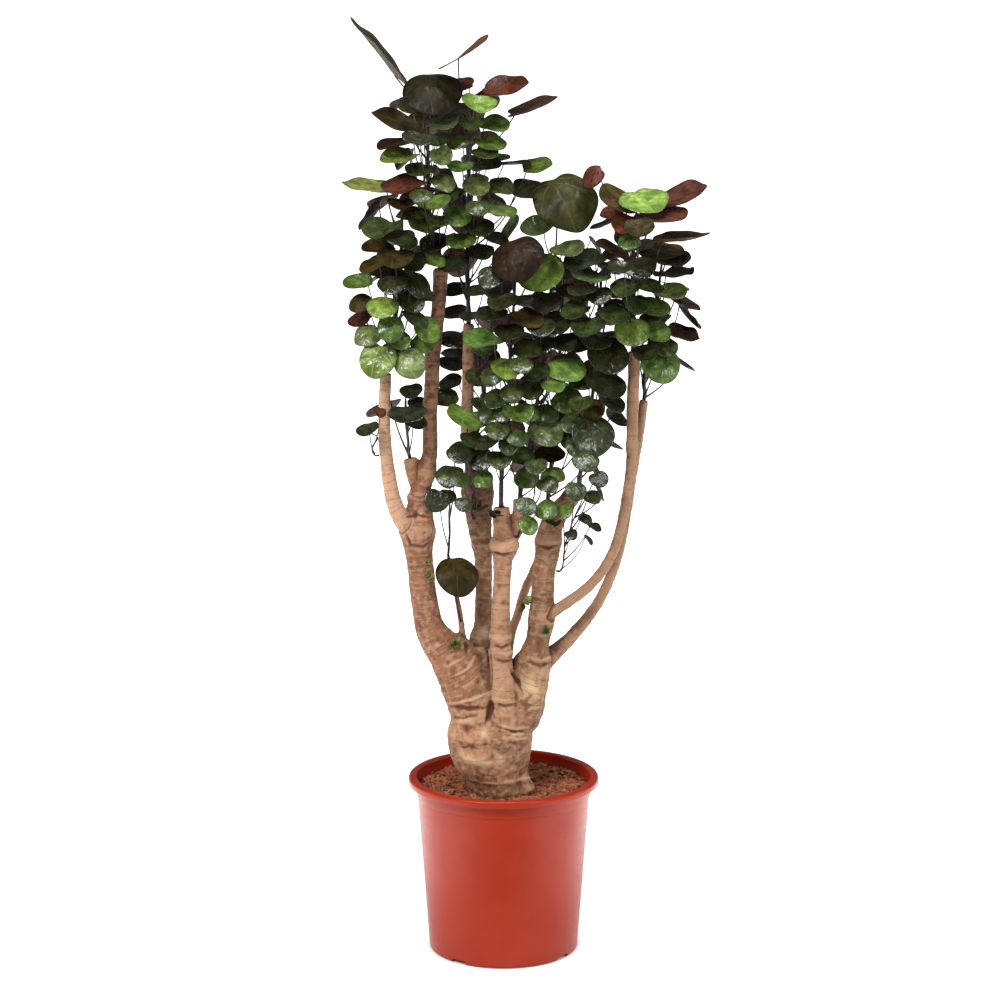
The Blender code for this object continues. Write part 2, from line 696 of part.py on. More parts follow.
def wall_radius(height):
    """Outer radius of the pot's wall at a height, above or below its shallow ring."""
    slope = (LIP_RADIUS - RING_STEP - BASE_RADIUS) / POT_HEIGHT
    step = RING_STEP if height > RING_HEIGHT else 0.0
    return BASE_RADIUS + slope * height + step


def pot_profile():
    """Pot's profile down its outer side, under the foot, and back up inside."""
    rim_low = POT_HEIGHT - RIM_DROP
    lip_radius = wall_radius(POT_HEIGHT)
    foot_inner = BASE_RADIUS - FOOT_WIDTH
    above, below = RING_HEIGHT + 1.0, RING_HEIGHT - 1.0
    outside = [
        (lip_radius - WALL, POT_HEIGHT), (RIM_RADIUS - 2.0, POT_HEIGHT), (RIM_RADIUS, POT_HEIGHT - 3.0),
        (RIM_RADIUS, rim_low), (RIM_RADIUS - 2.0, rim_low), (RIM_RADIUS - 2.3, POT_HEIGHT - 2.8),
        (lip_radius, POT_HEIGHT - 2.8), (wall_radius(above), above),
        (wall_radius(below), below), (wall_radius(4.0), 4.0), (BASE_RADIUS - 2.4, 0.0),
    ]
    under = [
        (foot_inner, 0.0), (foot_inner - 1.0, FLOOR_BOTTOM), (FOOT_PAD_RADIUS + 2.0, FLOOR_BOTTOM),
        (FOOT_PAD_RADIUS, 0.0), (0.0, 0.0),
    ]
    inside = [
        (0.0, FLOOR_TOP), (foot_inner, FLOOR_TOP), (wall_radius(14.0) - WALL, 14.0),
        (wall_radius(below) - WALL, below), (wall_radius(above) - WALL, above),
    ]
    return inside + outside + under


def build_pot(collection):
    """Thin moulded pot, its floor pierced and its foot ring notched."""
    pot = profile_object("pot", pot_profile(), collection, "pot")
    screw(pot, POT_STEPS)
    holes = new_collection("pot_cutters")
    for turn in NOTCH_TURNS:
        angle = math.radians(turn)
        bm = bmesh.new()
        bmesh.ops.create_cube(bm, size=1.0)
        bmesh.ops.scale(bm, vec=(NOTCH_SIZE[1], NOTCH_SIZE[0], 2.0 * NOTCH_SIZE[2]), verts=bm.verts)
        bmesh.ops.translate(bm, vec=(BASE_RADIUS - 3.0, 0.0, 0.0), verts=bm.verts)
        bmesh.ops.rotate(bm, matrix=Matrix.Rotation(angle, 3, "Z"), verts=bm.verts)
        hide(object_from_bmesh("notch_cutter", bm, holes))
    for i in range(DRAIN_COUNT):
        angle = math.radians(360.0 * (i + 0.5) / DRAIN_COUNT)
        bm = bmesh.new()
        bmesh.ops.create_cone(
            bm, cap_ends=True, segments=10, radius1=DRAIN_RADIUS, radius2=DRAIN_RADIUS, depth=20.0
        )
        place = (DRAIN_CIRCLE * math.cos(angle), DRAIN_CIRCLE * math.sin(angle), FLOOR_TOP)
        bmesh.ops.translate(bm, vec=place, verts=bm.verts)
        hide(object_from_bmesh("drain_cutter", bm, holes))
    boolean(pot, "DIFFERENCE", collection=holes)
    smooth(pot)
    return pot


def hide(item):
    """Mark a cutter."""
    item.hide_render = True
    item.display_type = "WIRE"


def smooth(item, angle=35.0):
    """Shade smooth with sharp edges kept."""
    item.data.shade_smooth()
    item.data.set_sharp_from_angle(angle=math.radians(angle))


def build_soil(collection, cutters):
    """Peat that fills the pot, its top slightly uneven, with a plain hole for the trunk."""
    clear = WALL + 2.0 * GAP
    brim = wall_radius(SOIL_TOP) - clear
    ring = RING_HEIGHT - 2.0
    inner = [
        (0.0, SOIL_TOP), (52.0, SOIL_TOP), (SOIL_WAVE_FROM + 8.0, SOIL_TOP), (brim - 3.5, SOIL_TOP - 1.0),
        (brim, SOIL_TOP - 4.0), (wall_radius(ring) - clear, ring), (wall_radius(15.0) - clear, 15.0),
        (BASE_RADIUS - FOOT_WIDTH - 2.0, FLOOR_TOP + GAP), (0.0, FLOOR_TOP + GAP),
    ]
    soil = profile_object("soil", inner, collection, "soil")
    screw(soil, POT_STEPS)
    apply_modifiers(soil)
    for vert in soil.data.vertices:
        reach = math.hypot(vert.co.x, vert.co.y) / MM
        if vert.co.z > (SOIL_TOP - 1.5) * MM and reach > SOIL_WAVE_FROM:
            wave = math.sin(vert.co.x / MM * 0.09) * math.cos(vert.co.y / MM * 0.11)
            vert.co.z += SOIL_WAVE * MM * wave
    hole = bmesh.new()
    hole_radius = STUB_RADIUS + GAP / math.cos(math.pi / TRUNK_SIDES)
    depth = SOIL_TOP - HOLE_FLOOR + 20.0
    bmesh.ops.create_cone(
        hole, cap_ends=True, segments=TRUNK_SIDES, radius1=hole_radius, radius2=hole_radius, depth=depth
    )
    bmesh.ops.translate(hole, vec=(STUB_X, PLANT_DEPTH, HOLE_FLOOR + 0.5 * depth), verts=hole.verts)
    cutter = object_from_bmesh("trunk_hole_cutter", hole, cutters)
    hide(cutter)
    boolean(soil, "DIFFERENCE", cutter)
    smooth(soil)
    return soil


def build_trunk(collection):
    """Root stub, trunk and every woody branch, grown as one piece."""
    bm = bmesh.new()
    bmesh.ops.create_cone(
        bm, cap_ends=True, segments=TRUNK_SIDES, radius1=STUB_RADIUS, radius2=STUB_RADIUS, depth=2.0
    )
    bmesh.ops.translate(bm, vec=(STUB_X, PLANT_DEPTH, HOLE_FLOOR + GAP + 1.0), verts=bm.verts)
    top = max(bm.faces, key=lambda face: face.calc_center_median().z)
    x_before, width_before, depth_before = STUB_X, STUB_RADIUS, STUB_RADIUS
    for x, z, half_width, half_depth in TRUNK_SECTIONS:
        raised = bmesh.ops.extrude_face_region(bm, geom=[top])
        corners = [item for item in raised["geom"] if isinstance(item, bmesh.types.BMVert)]
        bmesh.ops.delete(bm, geom=[top], context="FACES_ONLY")
        for corner in corners:
            corner.co.x = x + (corner.co.x - x_before) * half_width / width_before
            corner.co.y = PLANT_DEPTH + (corner.co.y - PLANT_DEPTH) * half_depth / depth_before
            corner.co.z = z
        x_before, width_before, depth_before = x, half_width, half_depth
        top = [item for item in raised["geom"] if isinstance(item, bmesh.types.BMFace)][0]
    trunk = object_from_bmesh("trunk", bm, collection, "wood")
    limbs = new_collection("limbs")
    for name in BRANCHES:
        way = branch_way(name)
        tube(name, way, 2 if way[0][1] > THICK_LIMB else 1, limbs)
    fuse(trunk, limbs)
    smooth(trunk, 50.0)
    return trunk


def turn_of(vert):
    """Angle of a point about the Z axis."""
    return math.atan2(vert.co.y, vert.co.x)


def blade(placed, number, collection):
    """Round cupped blade, notched at its root, thickened alike on both faces."""
    sides = 10 if placed.across > WIDE_BLADE else (8 if placed.across > SMALL_BLADE else 7)
    bm = bmesh.new()
    bmesh.ops.create_circle(bm, cap_ends=True, cap_tris=True, segments=sides, radius=1.0)
    middle = min(bm.verts, key=lambda vert: vert.co.length)
    ring = sorted((vert for vert in bm.verts if vert is not middle), key=turn_of)
    half = 0.5 * placed.across
    for place, vert in enumerate(ring):
        angle = 2.0 * math.pi * place / sides
        back = 2 * place == sides
        reach = half * (0.80 if back else 1.04)
        lift = 0.05 * placed.across * (1.0 - 1.6 * max(0.0, math.cos(angle)))
        vert.co = Vector((reach * math.cos(angle), reach * math.sin(angle), lift))
    middle.co.z = -0.045 * placed.across
    bmesh.ops.solidify(bm, geom=bm.faces[:], thickness=BLADE_THICKNESS)
    side = placed.facing.cross(placed.tip)
    frame = Matrix((placed.tip, side, placed.facing)).transposed().to_4x4()
    frame.translation = placed.middle
    bmesh.ops.transform(bm, matrix=frame, verts=bm.verts)
    return object_from_bmesh(f"blade_{number}", bm, collection)


def stalk(placed, number, collection):
    """Three-sided leaf stalk from inside the stem into the blade."""
    way = placed.root - placed.start
    way += way.normalized() * STALK_REACH
    bm = bmesh.new()
    bmesh.ops.create_cone(
        bm, cap_ends=True, segments=3, radius1=1.25 * STALK_RADIUS, radius2=STALK_RADIUS, depth=way.length
    )
    turn = Vector((0.0, 0.0, 1.0)).rotation_difference(way.normalized()).to_matrix().to_4x4()
    turn.translation = placed.start + way * 0.5
    bmesh.ops.transform(bm, matrix=turn, verts=bm.verts)
    return object_from_bmesh(f"stalk_{number}", bm, collection)


def build_leafy_stem(name, way, leaves, collection):
    """One leafy stem with its stalks and blades fused to it."""
    stem = tube(name, way, 1, collection, "leaf")
    pieces = new_collection(name + "_leaves")
    for number, placed in enumerate(leaves):
        blade(placed, number, pieces)
        stalk(placed, number, pieces)
    fuse(stem, pieces)
    smooth(stem, 50.0)
    return stem


def main():
    """Build the whole plant."""
    clear_scene()
    plant = new_collection("potted_shield_aralia")
    build_pot(plant)
    build_soil(plant, new_collection("soil_cutters"))
    build_trunk(plant)
    ways, leaves = lay_out_leaves()
    for name, way in ways.items():
        build_leafy_stem(name, way, leaves[name], plant)


main()
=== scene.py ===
"""Looks of the potted shield aralia: glossy round leaves, ringed bark, peat and a plastic pot.

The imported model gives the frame, in metres. Places on the plant are in millimetres, as (x, z)
that the viewer in front sees on the upright plane through the pot's axis, with a depth y counted
from the trunk's. The leaves are laid out by the same rule as in the part's source, so that each
finer leaf sits where its solid is.
"""
import logging
import math
import random
from dataclasses import dataclass, field, replace
from enum import Enum
from typing import Iterable, Optional, Sequence, Union

import bmesh
import bpy
import numpy as np
from mathutils import Matrix, Vector, noise


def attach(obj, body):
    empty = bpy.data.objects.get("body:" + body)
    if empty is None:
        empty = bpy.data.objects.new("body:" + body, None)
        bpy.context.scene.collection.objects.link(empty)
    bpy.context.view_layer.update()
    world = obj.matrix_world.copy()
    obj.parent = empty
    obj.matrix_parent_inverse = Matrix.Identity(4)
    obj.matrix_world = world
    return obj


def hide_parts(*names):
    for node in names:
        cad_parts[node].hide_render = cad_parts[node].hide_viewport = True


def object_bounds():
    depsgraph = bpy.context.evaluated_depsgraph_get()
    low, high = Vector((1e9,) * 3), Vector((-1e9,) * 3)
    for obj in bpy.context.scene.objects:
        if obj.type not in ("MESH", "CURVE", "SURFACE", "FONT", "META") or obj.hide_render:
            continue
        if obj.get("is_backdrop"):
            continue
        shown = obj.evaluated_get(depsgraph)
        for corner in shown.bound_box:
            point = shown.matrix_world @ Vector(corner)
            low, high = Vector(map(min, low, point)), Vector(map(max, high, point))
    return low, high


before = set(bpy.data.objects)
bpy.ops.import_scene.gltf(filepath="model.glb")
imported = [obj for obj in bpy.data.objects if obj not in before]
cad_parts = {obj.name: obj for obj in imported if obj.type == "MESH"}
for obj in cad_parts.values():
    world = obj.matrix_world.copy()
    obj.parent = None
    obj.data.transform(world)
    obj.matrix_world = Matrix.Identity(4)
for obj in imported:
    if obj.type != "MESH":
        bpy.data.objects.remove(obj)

Colour = tuple[float, float, float, float]
Way = list[tuple[Vector, float]]
Feed = Union[float, Colour, Sequence[float], bpy.types.NodeSocket]

MM = 0.001
LOG = logging.getLogger("shield_aralia")

# Viewer in front of the plant, in millimetres
EYE_DISTANCE = 3700.0
EYE_HEIGHT = 1325.0
VIEW_PITCH = math.radians(11.4)
PLANT_DEPTH = -25.0

# Layout of the leaves, as in the part's source: lengths in millimetres, shares and turns
SPUR_GAP = 0.7
SEAT_GAP = 0.3
STALK_RADIUS = 1.1
STALK_RISE = 0.8
STALK_DROP = 14.0
BLADE_ROOT = 0.30
BLADE_ROOT_LIFT = 0.026
GOLDEN_ANGLE = math.radians(137.5)
READ_REACH = (22.0, 48.0)
READ_BELOW = 20.0
READ_NEAREST = 8.0
SEEN_MOST = 0.97
SEEN_DROOP = 1.3
FILL_REACH = (24.0, 56.0)
FILL_DROOP = 0.5
FILL_TRIALS = 14
FILL_ACROSS = (27.0, 45.0)
FILL_LEAN = (22.0, 58.0)
FILL_FOOT = 18.0
FILL_HEAD = 14.0
FILL_STRAY = 6.0
FILL_FRONT = -0.35
READ_SEED = 7
SPARE_ALLOWED = 2.2
DEPTH_STEP = 5.0
DEPTH_TRIALS = 29

# Blades of the looks: seed of those added, widths in millimetres, and how much of one is seen
MORE_SEED = 11
LARGE_HALF = 40.0
LARGE_ACROSS = 54.0
FACE_ON = 0.62
EDGE_ON = 0.3
SWAY_WIDTH = 28.0


def screen(red: float, green: float, blue: float) -> Colour:
    """Turn a screen colour into the linear one that shaders take.

    Args:
        red, green, blue: parts from 0 to 255.

    Returns:
        The linear colour with full alpha.
    """
    parts = []
    for part in (red, green, blue):
        share = part / 255.0
        parts.append(share / 12.92 if share <= 0.04045 else ((share + 0.055) / 1.055) ** 2.4)
    return (parts[0], parts[1], parts[2], 1.0)


class Tone(Enum):
    """Colours of a blade's upper side and underside, as screen colours."""

    NIGHT = ((39, 46, 26), (54, 38, 29))
    DEEP = ((58, 73, 38), (70, 46, 34))
    GREEN = ((80, 108, 48), (92, 72, 46))
    BRIGHT = ((105, 135, 60), (112, 108, 62))
    LIME = ((112, 126, 60), (120, 112, 66))
    SAGE = ((103, 121, 74), (98, 90, 68))
    OLIVE = ((60, 53, 27), (84, 58, 37))
    HOOD = ((51, 53, 26), (88, 64, 40))
    WINE = ((76, 43, 34), (86, 43, 34))
    RUST = ((88, 51, 37), (98, 51, 38))
    DUSK = ((56, 40, 30), (80, 54, 40))
    UMBER = ((33, 29, 14), (70, 50, 34))
    EMBER = ((40, 28, 20), (70, 46, 34))


NIGHT, DEEP, GREEN, BRIGHT, LIME, SAGE, OLIVE, HOOD, WINE, RUST, DUSK, UMBER, EMBER = Tone
YOUNG_TONES = (OLIVE, HOOD, WINE, RUST, DUSK, UMBER, EMBER)


@dataclass(frozen=True)
class Leaf:
    """One blade as it is seen, a row of a leafy stem's leaves: place, size, turn and tone."""

    x: float
    z: float
    across: float
    seen: float
    turn: float = 0.0
    tone: Tone = DEEP


@dataclass(frozen=True)
class Shoot:
    """One leafy stem: what carries it, its way as (x, z, y), its radii, leaves and filling."""

    name: str
    host: str
    way: tuple
    radii: tuple
    leaves: tuple
    fill: int = 0
    side: float = 0.0
    side_z: float = 0.0
    more: tuple = ()
    more_fill: int = 0


# Woody branches, root to tip: (x, z, y, radius) in millimetres
BRANCHES = {
    "left": (
        (-24, 300, 0, 42), (-42, 345, -4, 38), (-66, 380, -6, 29), (-82, 398, -8, 22),
        (-93.5, 420, -9, 18.5), (-98, 442, -10, 17.2), (-102, 475, -10, 16.6),
        (-105, 510, -10, 17), (-107, 540, -10, 22), (-105, 562, -9, 17), (-104, 585, -7, 13.5),
        (-98, 608, -5, 11.5), (-92, 635, -3, 9.8), (-91, 690, -2, 9), (-88, 735, -1, 9.2),
        (-87, 770, 0, 10), (-81, 808, 0, 8.6), (-77, 868, 1, 9.3),
    ),
    "left_thin": (
        (-112, 538, -14, 12), (-126, 554, -20, 11.5), (-136.5, 578, -22, 9.8),
        (-141.5, 603, -23, 9.2), (-145, 630, -23, 8.4), (-147.5, 660, -23, 8),
        (-147, 700, -22, 7.7), (-145.5, 738, -21, 7.6),
    ),
    "left_stub": ((-104, 590, -6, 10), (-112, 615, -4, 9.5), (-116, 632, -3, 9)),
    "middle": (
        (-15, 310, 14, 34), (-22, 355, 18, 26), (-29, 390, 20, 17), (-26, 420, 21, 11.5),
        (-25, 460, 22, 11), (-25, 500, 22, 11.2), (-28.5, 535, 22, 14), (-30.5, 560, 22, 16.5),
        (-32, 585, 22, 19.5), (-32.5, 602, 22, 18), (-36, 625, 22, 13), (-42, 655, 22, 9.5),
        (-45, 685, 22, 8), (-44, 720, 21, 7.8), (-43.5, 760, 20, 7.4), (-43, 800, 19, 7.2),
    ),
    "front": (
        (0, 310, -14, 34), (-2, 350, -20, 26), (-4, 378, -22, 15.5), (-4, 400, -23, 12.5),
        (-3.5, 440, -24, 11.5), (-2, 480, -24, 11.2), (-1, 503, -24, 12.5),
        (1, 522, -24, 17.5), (0, 538, -24, 13.5), (-2.5, 552, -24, 11), (-3, 570, -24, 10.5),
    ),
    "front_fork": ((6, 528, -22, 10), (15, 545, -20, 10), (20, 562, -18, 9.2), (20.5, 580, -17, 9)),
    "right": (
        (8, 300, -2, 36), (22, 335, -6, 31), (34, 365, -8, 24), (39, 385, -9, 17.5),
        (43, 402, -9, 15.3), (47, 425, -10, 15.2), (48.5, 455, -10, 14.6), (50, 485, -10, 14.4),
        (55, 515, -10, 15.5), (59, 545, -10, 14.5), (70, 565, -9, 12.8), (80, 578, -8, 12),
        (88, 590, -7, 11.5),
    ),
    "right_thin": (
        (50, 428, -14, 9), (62, 436, -18, 7.2), (81, 449, -22, 7), (101, 464, -24, 6.8),
        (118, 482, -25, 6.7), (131, 502, -25, 6.6), (141, 526, -24, 6.6), (148, 556, -22, 6.6),
        (154, 590, -19, 6.7), (158, 620, -17, 7), (159, 650, -15, 7.3), (159, 690, -14, 7.8),
        (160, 730, -14, 7.6), (160, 766, -14, 7.4),
    ),
    "right_low": (
        (34, 358, 0, 17), (52, 374, 4, 12.5), (66, 386, 7, 10), (80, 399, 9, 8.6), (93, 414, 11, 7.8),
        (106, 430, 12, 7.4), (120, 452, 14, 7), (132, 478, 15, 6.8), (142, 507, 16, 6.6),
        (148, 534, 17, 6.5), (153, 564, 18, 6.5), (158, 600, 19, 6.4), (164, 640, 20, 6.3),
        (170, 680, 21, 6.2), (173, 705, 21, 6),
    ),
    "back": (
        (-2, 345, 4, 14), (3, 383, 13, 9), (10, 411, 22, 6.2), (17, 430, 28, 6), (27, 465, 34, 6),
        (37, 487, 38, 6), (46, 510, 41, 5.8), (52, 545, 43, 5.5), (55, 580, 44, 5.2),
    ),
}

# Leafy stems of the solids, each with the leaves and the filling that only the looks add
SHOOTS = (
    Shoot(
        "leafy_stem_left", "left_thin",
        ((-141, 765, -20), (-133, 805, -18), (-127, 850, -16), (-124, 900, -14), (-124, 950, -13)),
        (3.6, 1.8),
        (
            (-162, 968, 58, 20, -8, LIME), (-155, 756, 42, 38, 0, BRIGHT), (-115, 752, 36, 34, 0, SAGE),
            (-92, 794, 34, 29, -40, BRIGHT), (-148, 822, 36, 24, 0, BRIGHT),
            (-91, 882, 37, 21, -12, BRIGHT), (-178, 849, 31, 20, 0, GREEN),
            (-175, 826, 27, 21, 10, OLIVE), (-167, 786, 30, 25, 0, SAGE), (-139, 795, 30, 26, 0, GREEN),
            (-113, 829, 29, 26), (-113, 878, 36, 20, 8, NIGHT), (-106, 850, 34, 22, -35, NIGHT),
            (-148, 916, 46, 20, 5), (-124, 946, 32, 14, 0, OLIVE), (-152, 893, 40, 18, -6, OLIVE),
            (-133, 881, 42, 20, 0, OLIVE), (-160, 872, 34, 16, 12, OLIVE), (-176, 806, 30, 16, 15, WINE),
            (-128, 779, 24, 20, 0, GREEN), (-128, 907, 36, 18, -10, NIGHT), (-136, 850, 34, 22, 0, NIGHT),
            (-108, 806, 30, 20, -20), (-137, 769, 24, 22, 0, NIGHT),
        ),
        1,
        more=(
            (-100, 776, 26, 22, 0, GREEN), (-120, 858, 28, 18), (-98, 838, 26, 18, -14),
            (-142, 868, 30, 16, 8, NIGHT), (-118, 900, 28, 14, -8, GREEN),
        ),
        more_fill=8,
    ),
    Shoot(
        "leafy_stem_tall", "left",
        ((-83, 892, 0), (-90, 925, -1), (-92, 970, -2), (-92, 1030, -2), (-89, 1066, -2)),
        (4.0, 1.9),
        (
            (-86, 1085, 68, 50, 0, UMBER), (-148, 1128, 92, 11, -53, HOOD),
            (-129, 1046, 60, 25, -26, OLIVE), (-127, 1004, 42, 19, 0, BRIGHT),
            (-125, 1021, 50, 11, 4, DUSK), (-122, 970, 50, 22, 4, WINE), (-88, 948, 42, 22, 0, GREEN),
            (-95, 922, 42, 25, -10), (-76, 1006, 26, 22, 0, SAGE), (-72, 976, 27, 21, 0, SAGE),
            (-103, 987, 34, 20), (-106, 1066, 40, 18, -15), (-73, 1045, 38, 20, 10),
            (-112, 935, 34, 20, 0, GREEN), (-70, 955, 32, 20, 0, NIGHT), (-104, 1026, 34, 18, 0, NIGHT),
        ),
        2,
        more=(
            (-82, 1026, 30, 18, 6), (-100, 958, 26, 16), (-78, 926, 30, 18, 8),
            (-84, 900, 34, 18, -6, NIGHT),
        ),
        more_fill=8,
    ),
    Shoot(
        "leafy_stem_middle", "middle",
        ((-44, 840, 18), (-44, 900, 16), (-42, 980, 14), (-40, 1040, 12), (-36, 1070, 10)),
        (3.6, 1.8),
        (
            (-47, 1128, 70, 13, 35, RUST), (2, 1086, 52, 27, 14, WINE), (33, 1064, 60, 20, 22, DUSK),
            (-30, 1068, 40, 22, -8, BRIGHT), (-50, 1090, 28, 17, 20, WINE), (-13, 1043, 37, 20, 5, GREEN),
            (-16, 1022, 35, 16, -5, GREEN), (-13, 942, 56, 20, -14, GREEN), (-56, 932, 32, 20, 0, GREEN),
            (-35, 969, 30, 24, 0, SAGE), (-53, 993, 30, 14, 0, GREEN), (-21, 994, 32, 20, 0, NIGHT),
            (12, 996, 36, 9, 4, DUSK), (40, 992, 32, 15, 10, GREEN), (28, 962, 42, 28, -8, NIGHT),
            (-55, 1026, 30, 20), (-58, 1060, 30, 18), (-5, 968, 34, 20), (-58, 958, 28, 20),
            (-30, 918, 34, 20, 0, NIGHT), (-52, 900, 34, 20, 0, GREEN), (9, 916, 32, 13, 65, GREEN),
            (-24, 1008, 30, 18), (-62, 875, 34, 18, 10, NIGHT),
        ),
        2,
        more=(
            (-38, 1045, 28, 16, 6), (-32, 944, 28, 16, -6), (-8, 1003, 28, 14, 8),
            (-30, 888, 34, 18, 6, NIGHT), (-10, 905, 30, 16, -10, NIGHT),
        ),
        more_fill=10,
    ),
    Shoot(
        "leafy_stem_front", "front",
        ((-3, 600, -25), (0, 640, -26), (6, 720, -24), (10, 790, -20), (14, 850, -16)),
        (3.4, 1.8),
        (
            (15, 882, 62, 50, 30, EMBER), (46, 862, 52, 42, 35, BRIGHT), (-16, 858, 30, 26, 0, NIGHT),
            (-23, 779, 50, 19, -4, GREEN), (5, 745, 38, 22, 0, BRIGHT), (9, 714, 26, 20),
            (-10, 707, 26, 20), (18, 689, 36, 22, -8, GREEN), (-8, 668, 28, 20), (16, 660, 26, 19),
            (-2, 826, 34, 20, 8, NIGHT), (28, 806, 40, 22, -6, OLIVE), (6, 790, 34, 20, 0, NIGHT),
            (-12, 740, 30, 18), (28, 770, 34, 22, 10), (-6, 632, 28, 18), (22, 636, 28, 20, -10),
            (-30, 840, 34, 18, 0, NIGHT),
        ),
        1,
        more=(
            (-14, 812, 32, 16, -6, NIGHT), (18, 826, 34, 16, 8, NIGHT), (22, 750, 28, 18),
            (2, 690, 24, 16, 10), (30, 690, 26, 18, -8, GREEN), (-18, 690, 26, 16), (6, 648, 22, 16),
            (-20, 650, 26, 16, 0, NIGHT),
        ),
        more_fill=10,
    ),
    Shoot(
        "leafy_stem_centre", "front_fork",
        ((24, 605, -16), (38, 680, -8), (50, 760, 2), (58, 840, 8), (64, 893, 10)),
        (3.6, 2.0),
        (
            (76, 953, 76, 66, -6, HOOD), (76, 747, 47, 32, 0, BRIGHT), (78, 705, 36, 32, 0, GREEN),
            (52, 666, 40, 34, 0, SAGE), (33, 718, 29, 22), (42, 582, 36, 28, -10, GREEN),
            (28, 608, 30, 24, 0, GREEN), (60, 800, 44, 24, 6, NIGHT), (84, 836, 42, 22, -12, NIGHT),
            (78, 892, 40, 20, 10), (40, 916, 36, 22), (58, 640, 30, 22, 0, OLIVE),
            (50, 826, 36, 20, 0, NIGHT), (92, 778, 38, 24, 0, NIGHT), (40, 740, 30, 20),
            (70, 866, 34, 18, 0, NIGHT),
        ),
        3,
        more=(
            (52, 690, 28, 20, 8), (60, 722, 28, 18, -8, GREEN), (44, 772, 34, 18, 6),
            (72, 776, 34, 16, -6, NIGHT), (38, 640, 28, 20, -10), (66, 682, 26, 18),
            (60, 612, 26, 18, 10, GREEN), (44, 796, 34, 18, 0, NIGHT),
        ),
        more_fill=12,
    ),
    Shoot(
        "leafy_stem_inner_right", "right",
        ((94, 607, -8), (103, 660, -10), (112, 730, -12), (118, 800, -12), (119, 856, -10)),
        (3.8, 1.8),
        (
            (110, 662, 50, 45, -30, NIGHT), (128, 760, 47, 42, -20, NIGHT), (78, 620, 50, 42, 10, SAGE),
            (107, 859, 46, 14, -8, GREEN), (100, 880, 46, 20, 6, NIGHT), (134, 868, 32, 16, -10),
            (117, 837, 30, 18, 0, NIGHT), (125, 725, 46, 26, -14, NIGHT), (110, 696, 28, 20, 0, OLIVE),
            (140, 681, 32, 16, -25, NIGHT), (138, 634, 30, 18, -55, NIGHT), (115, 619, 28, 22),
            (69, 587, 30, 24, 40, GREEN), (54, 545, 26, 20, 30, BRIGHT), (98, 730, 34, 22),
            (104, 796, 40, 22, 8), (134, 810, 36, 22, -10), (92, 650, 30, 24),
            (132, 700, 34, 20, -30, NIGHT), (88, 816, 34, 20), (98, 596, 28, 20, -20),
        ),
        2,
        more=(
            (84, 656, 28, 22), (112, 776, 36, 20, -8, NIGHT), (84, 676, 26, 20, 8), (96, 700, 28, 20, -6),
            (100, 628, 30, 24, 12), (96, 838, 34, 16, 6, NIGHT), (126, 784, 34, 18, 8),
            (88, 596, 24, 18, 0, GREEN),
        ),
        more_fill=12,
    ),
    Shoot(
        "leafy_stem_right", "right_thin",
        ((159, 800, -14), (158, 850, -14), (158, 900, -13), (161, 932, -12)),
        (3.6, 2.0),
        (
            (216, 959, 60, 25, 27, WINE), (170, 951, 56, 28, 4, BRIGHT), (138, 950, 48, 25, -42, OLIVE),
            (192, 934, 62, 24, 8, WINE), (107, 981, 28, 20, 48, WINE), (214, 905, 62, 12, 8, OLIVE),
            (135, 890, 44, 14, -29, DUSK), (150, 923, 34, 24, 0, RUST), (157, 791, 40, 34, 0, GREEN),
            (188, 790, 30, 24, 0, GREEN), (184, 820, 38, 22, 0, GREEN), (154, 901, 26, 18, 0, GREEN),
            (132, 938, 24, 16, 0, WINE), (166, 872, 38, 20, 0, NIGHT), (150, 846, 36, 20),
            (176, 846, 34, 18), (140, 820, 32, 22, 0, NIGHT), (166, 918, 34, 18, 0, OLIVE),
        ),
        2,
        more=(
            (170, 896, 32, 16, 8, NIGHT), (144, 868, 30, 16, -8, NIGHT), (164, 826, 30, 18),
            (178, 804, 26, 16, 6), (148, 806, 26, 16, -8),
        ),
        more_fill=8,
    ),
    Shoot(
        "leafy_stem_right_back", "right_low",
        ((172, 728, 22), (179, 780, 22), (188, 830, 22), (193, 872, 22)),
        (3.0, 1.6),
        (
            (192, 891, 56, 24, -4, OLIVE), (202, 876, 50, 16, 6, NIGHT), (209, 861, 46, 14, 4, OLIVE),
            (198, 839, 50, 16, -6, BRIGHT), (221, 824, 40, 11, -24, DUSK), (219, 787, 42, 16, -10, DUSK),
            (196, 772, 32, 20), (193, 750, 46, 40, -20, GREEN), (176, 762, 30, 22, 0, NIGHT),
        ),
        1,
        more=((190, 806, 32, 16, 6), (184, 782, 28, 16, -6, NIGHT)),
        more_fill=5,
    ),
    Shoot(
        "leafy_stem_back", "back",
        ((57, 603, 45), (62, 660, 48), (68, 740, 50), (72, 820, 48), (74, 872, 44)),
        (3.0, 1.6),
        (),
        11,
        more_fill=12,
    ),
    Shoot(
        "leafy_spur_middle", "middle",
        ((-24, 700, 26), (-22, 750, 27), (-22, 790, 27)),
        (2.6, 1.6),
        (
            (-44, 677, 50, 17, -14, BRIGHT), (-38, 809, 32, 14, 0, NIGHT), (-71, 708, 28, 20),
            (-30, 735, 32, 20), (-62, 748, 30, 20, 8), (-64, 782, 32, 20, -8, NIGHT), (-60, 690, 28, 18),
            (-22, 700, 30, 20), (-60, 812, 30, 18, 6, NIGHT),
        ),
        2, 60.0, 655.0,
        more=(
            (-60, 840, 32, 18, 6, NIGHT), (-62, 762, 26, 16, 0, NIGHT), (-24, 770, 30, 16, -8),
            (-66, 728, 26, 16, 10, NIGHT),
        ),
        more_fill=6,
    ),
    Shoot(
        "leafy_spur_left", "left_stub",
        ((-118, 652, -2), (-121, 680, 0), (-121, 704, 2)),
        (2.4, 1.4),
        (
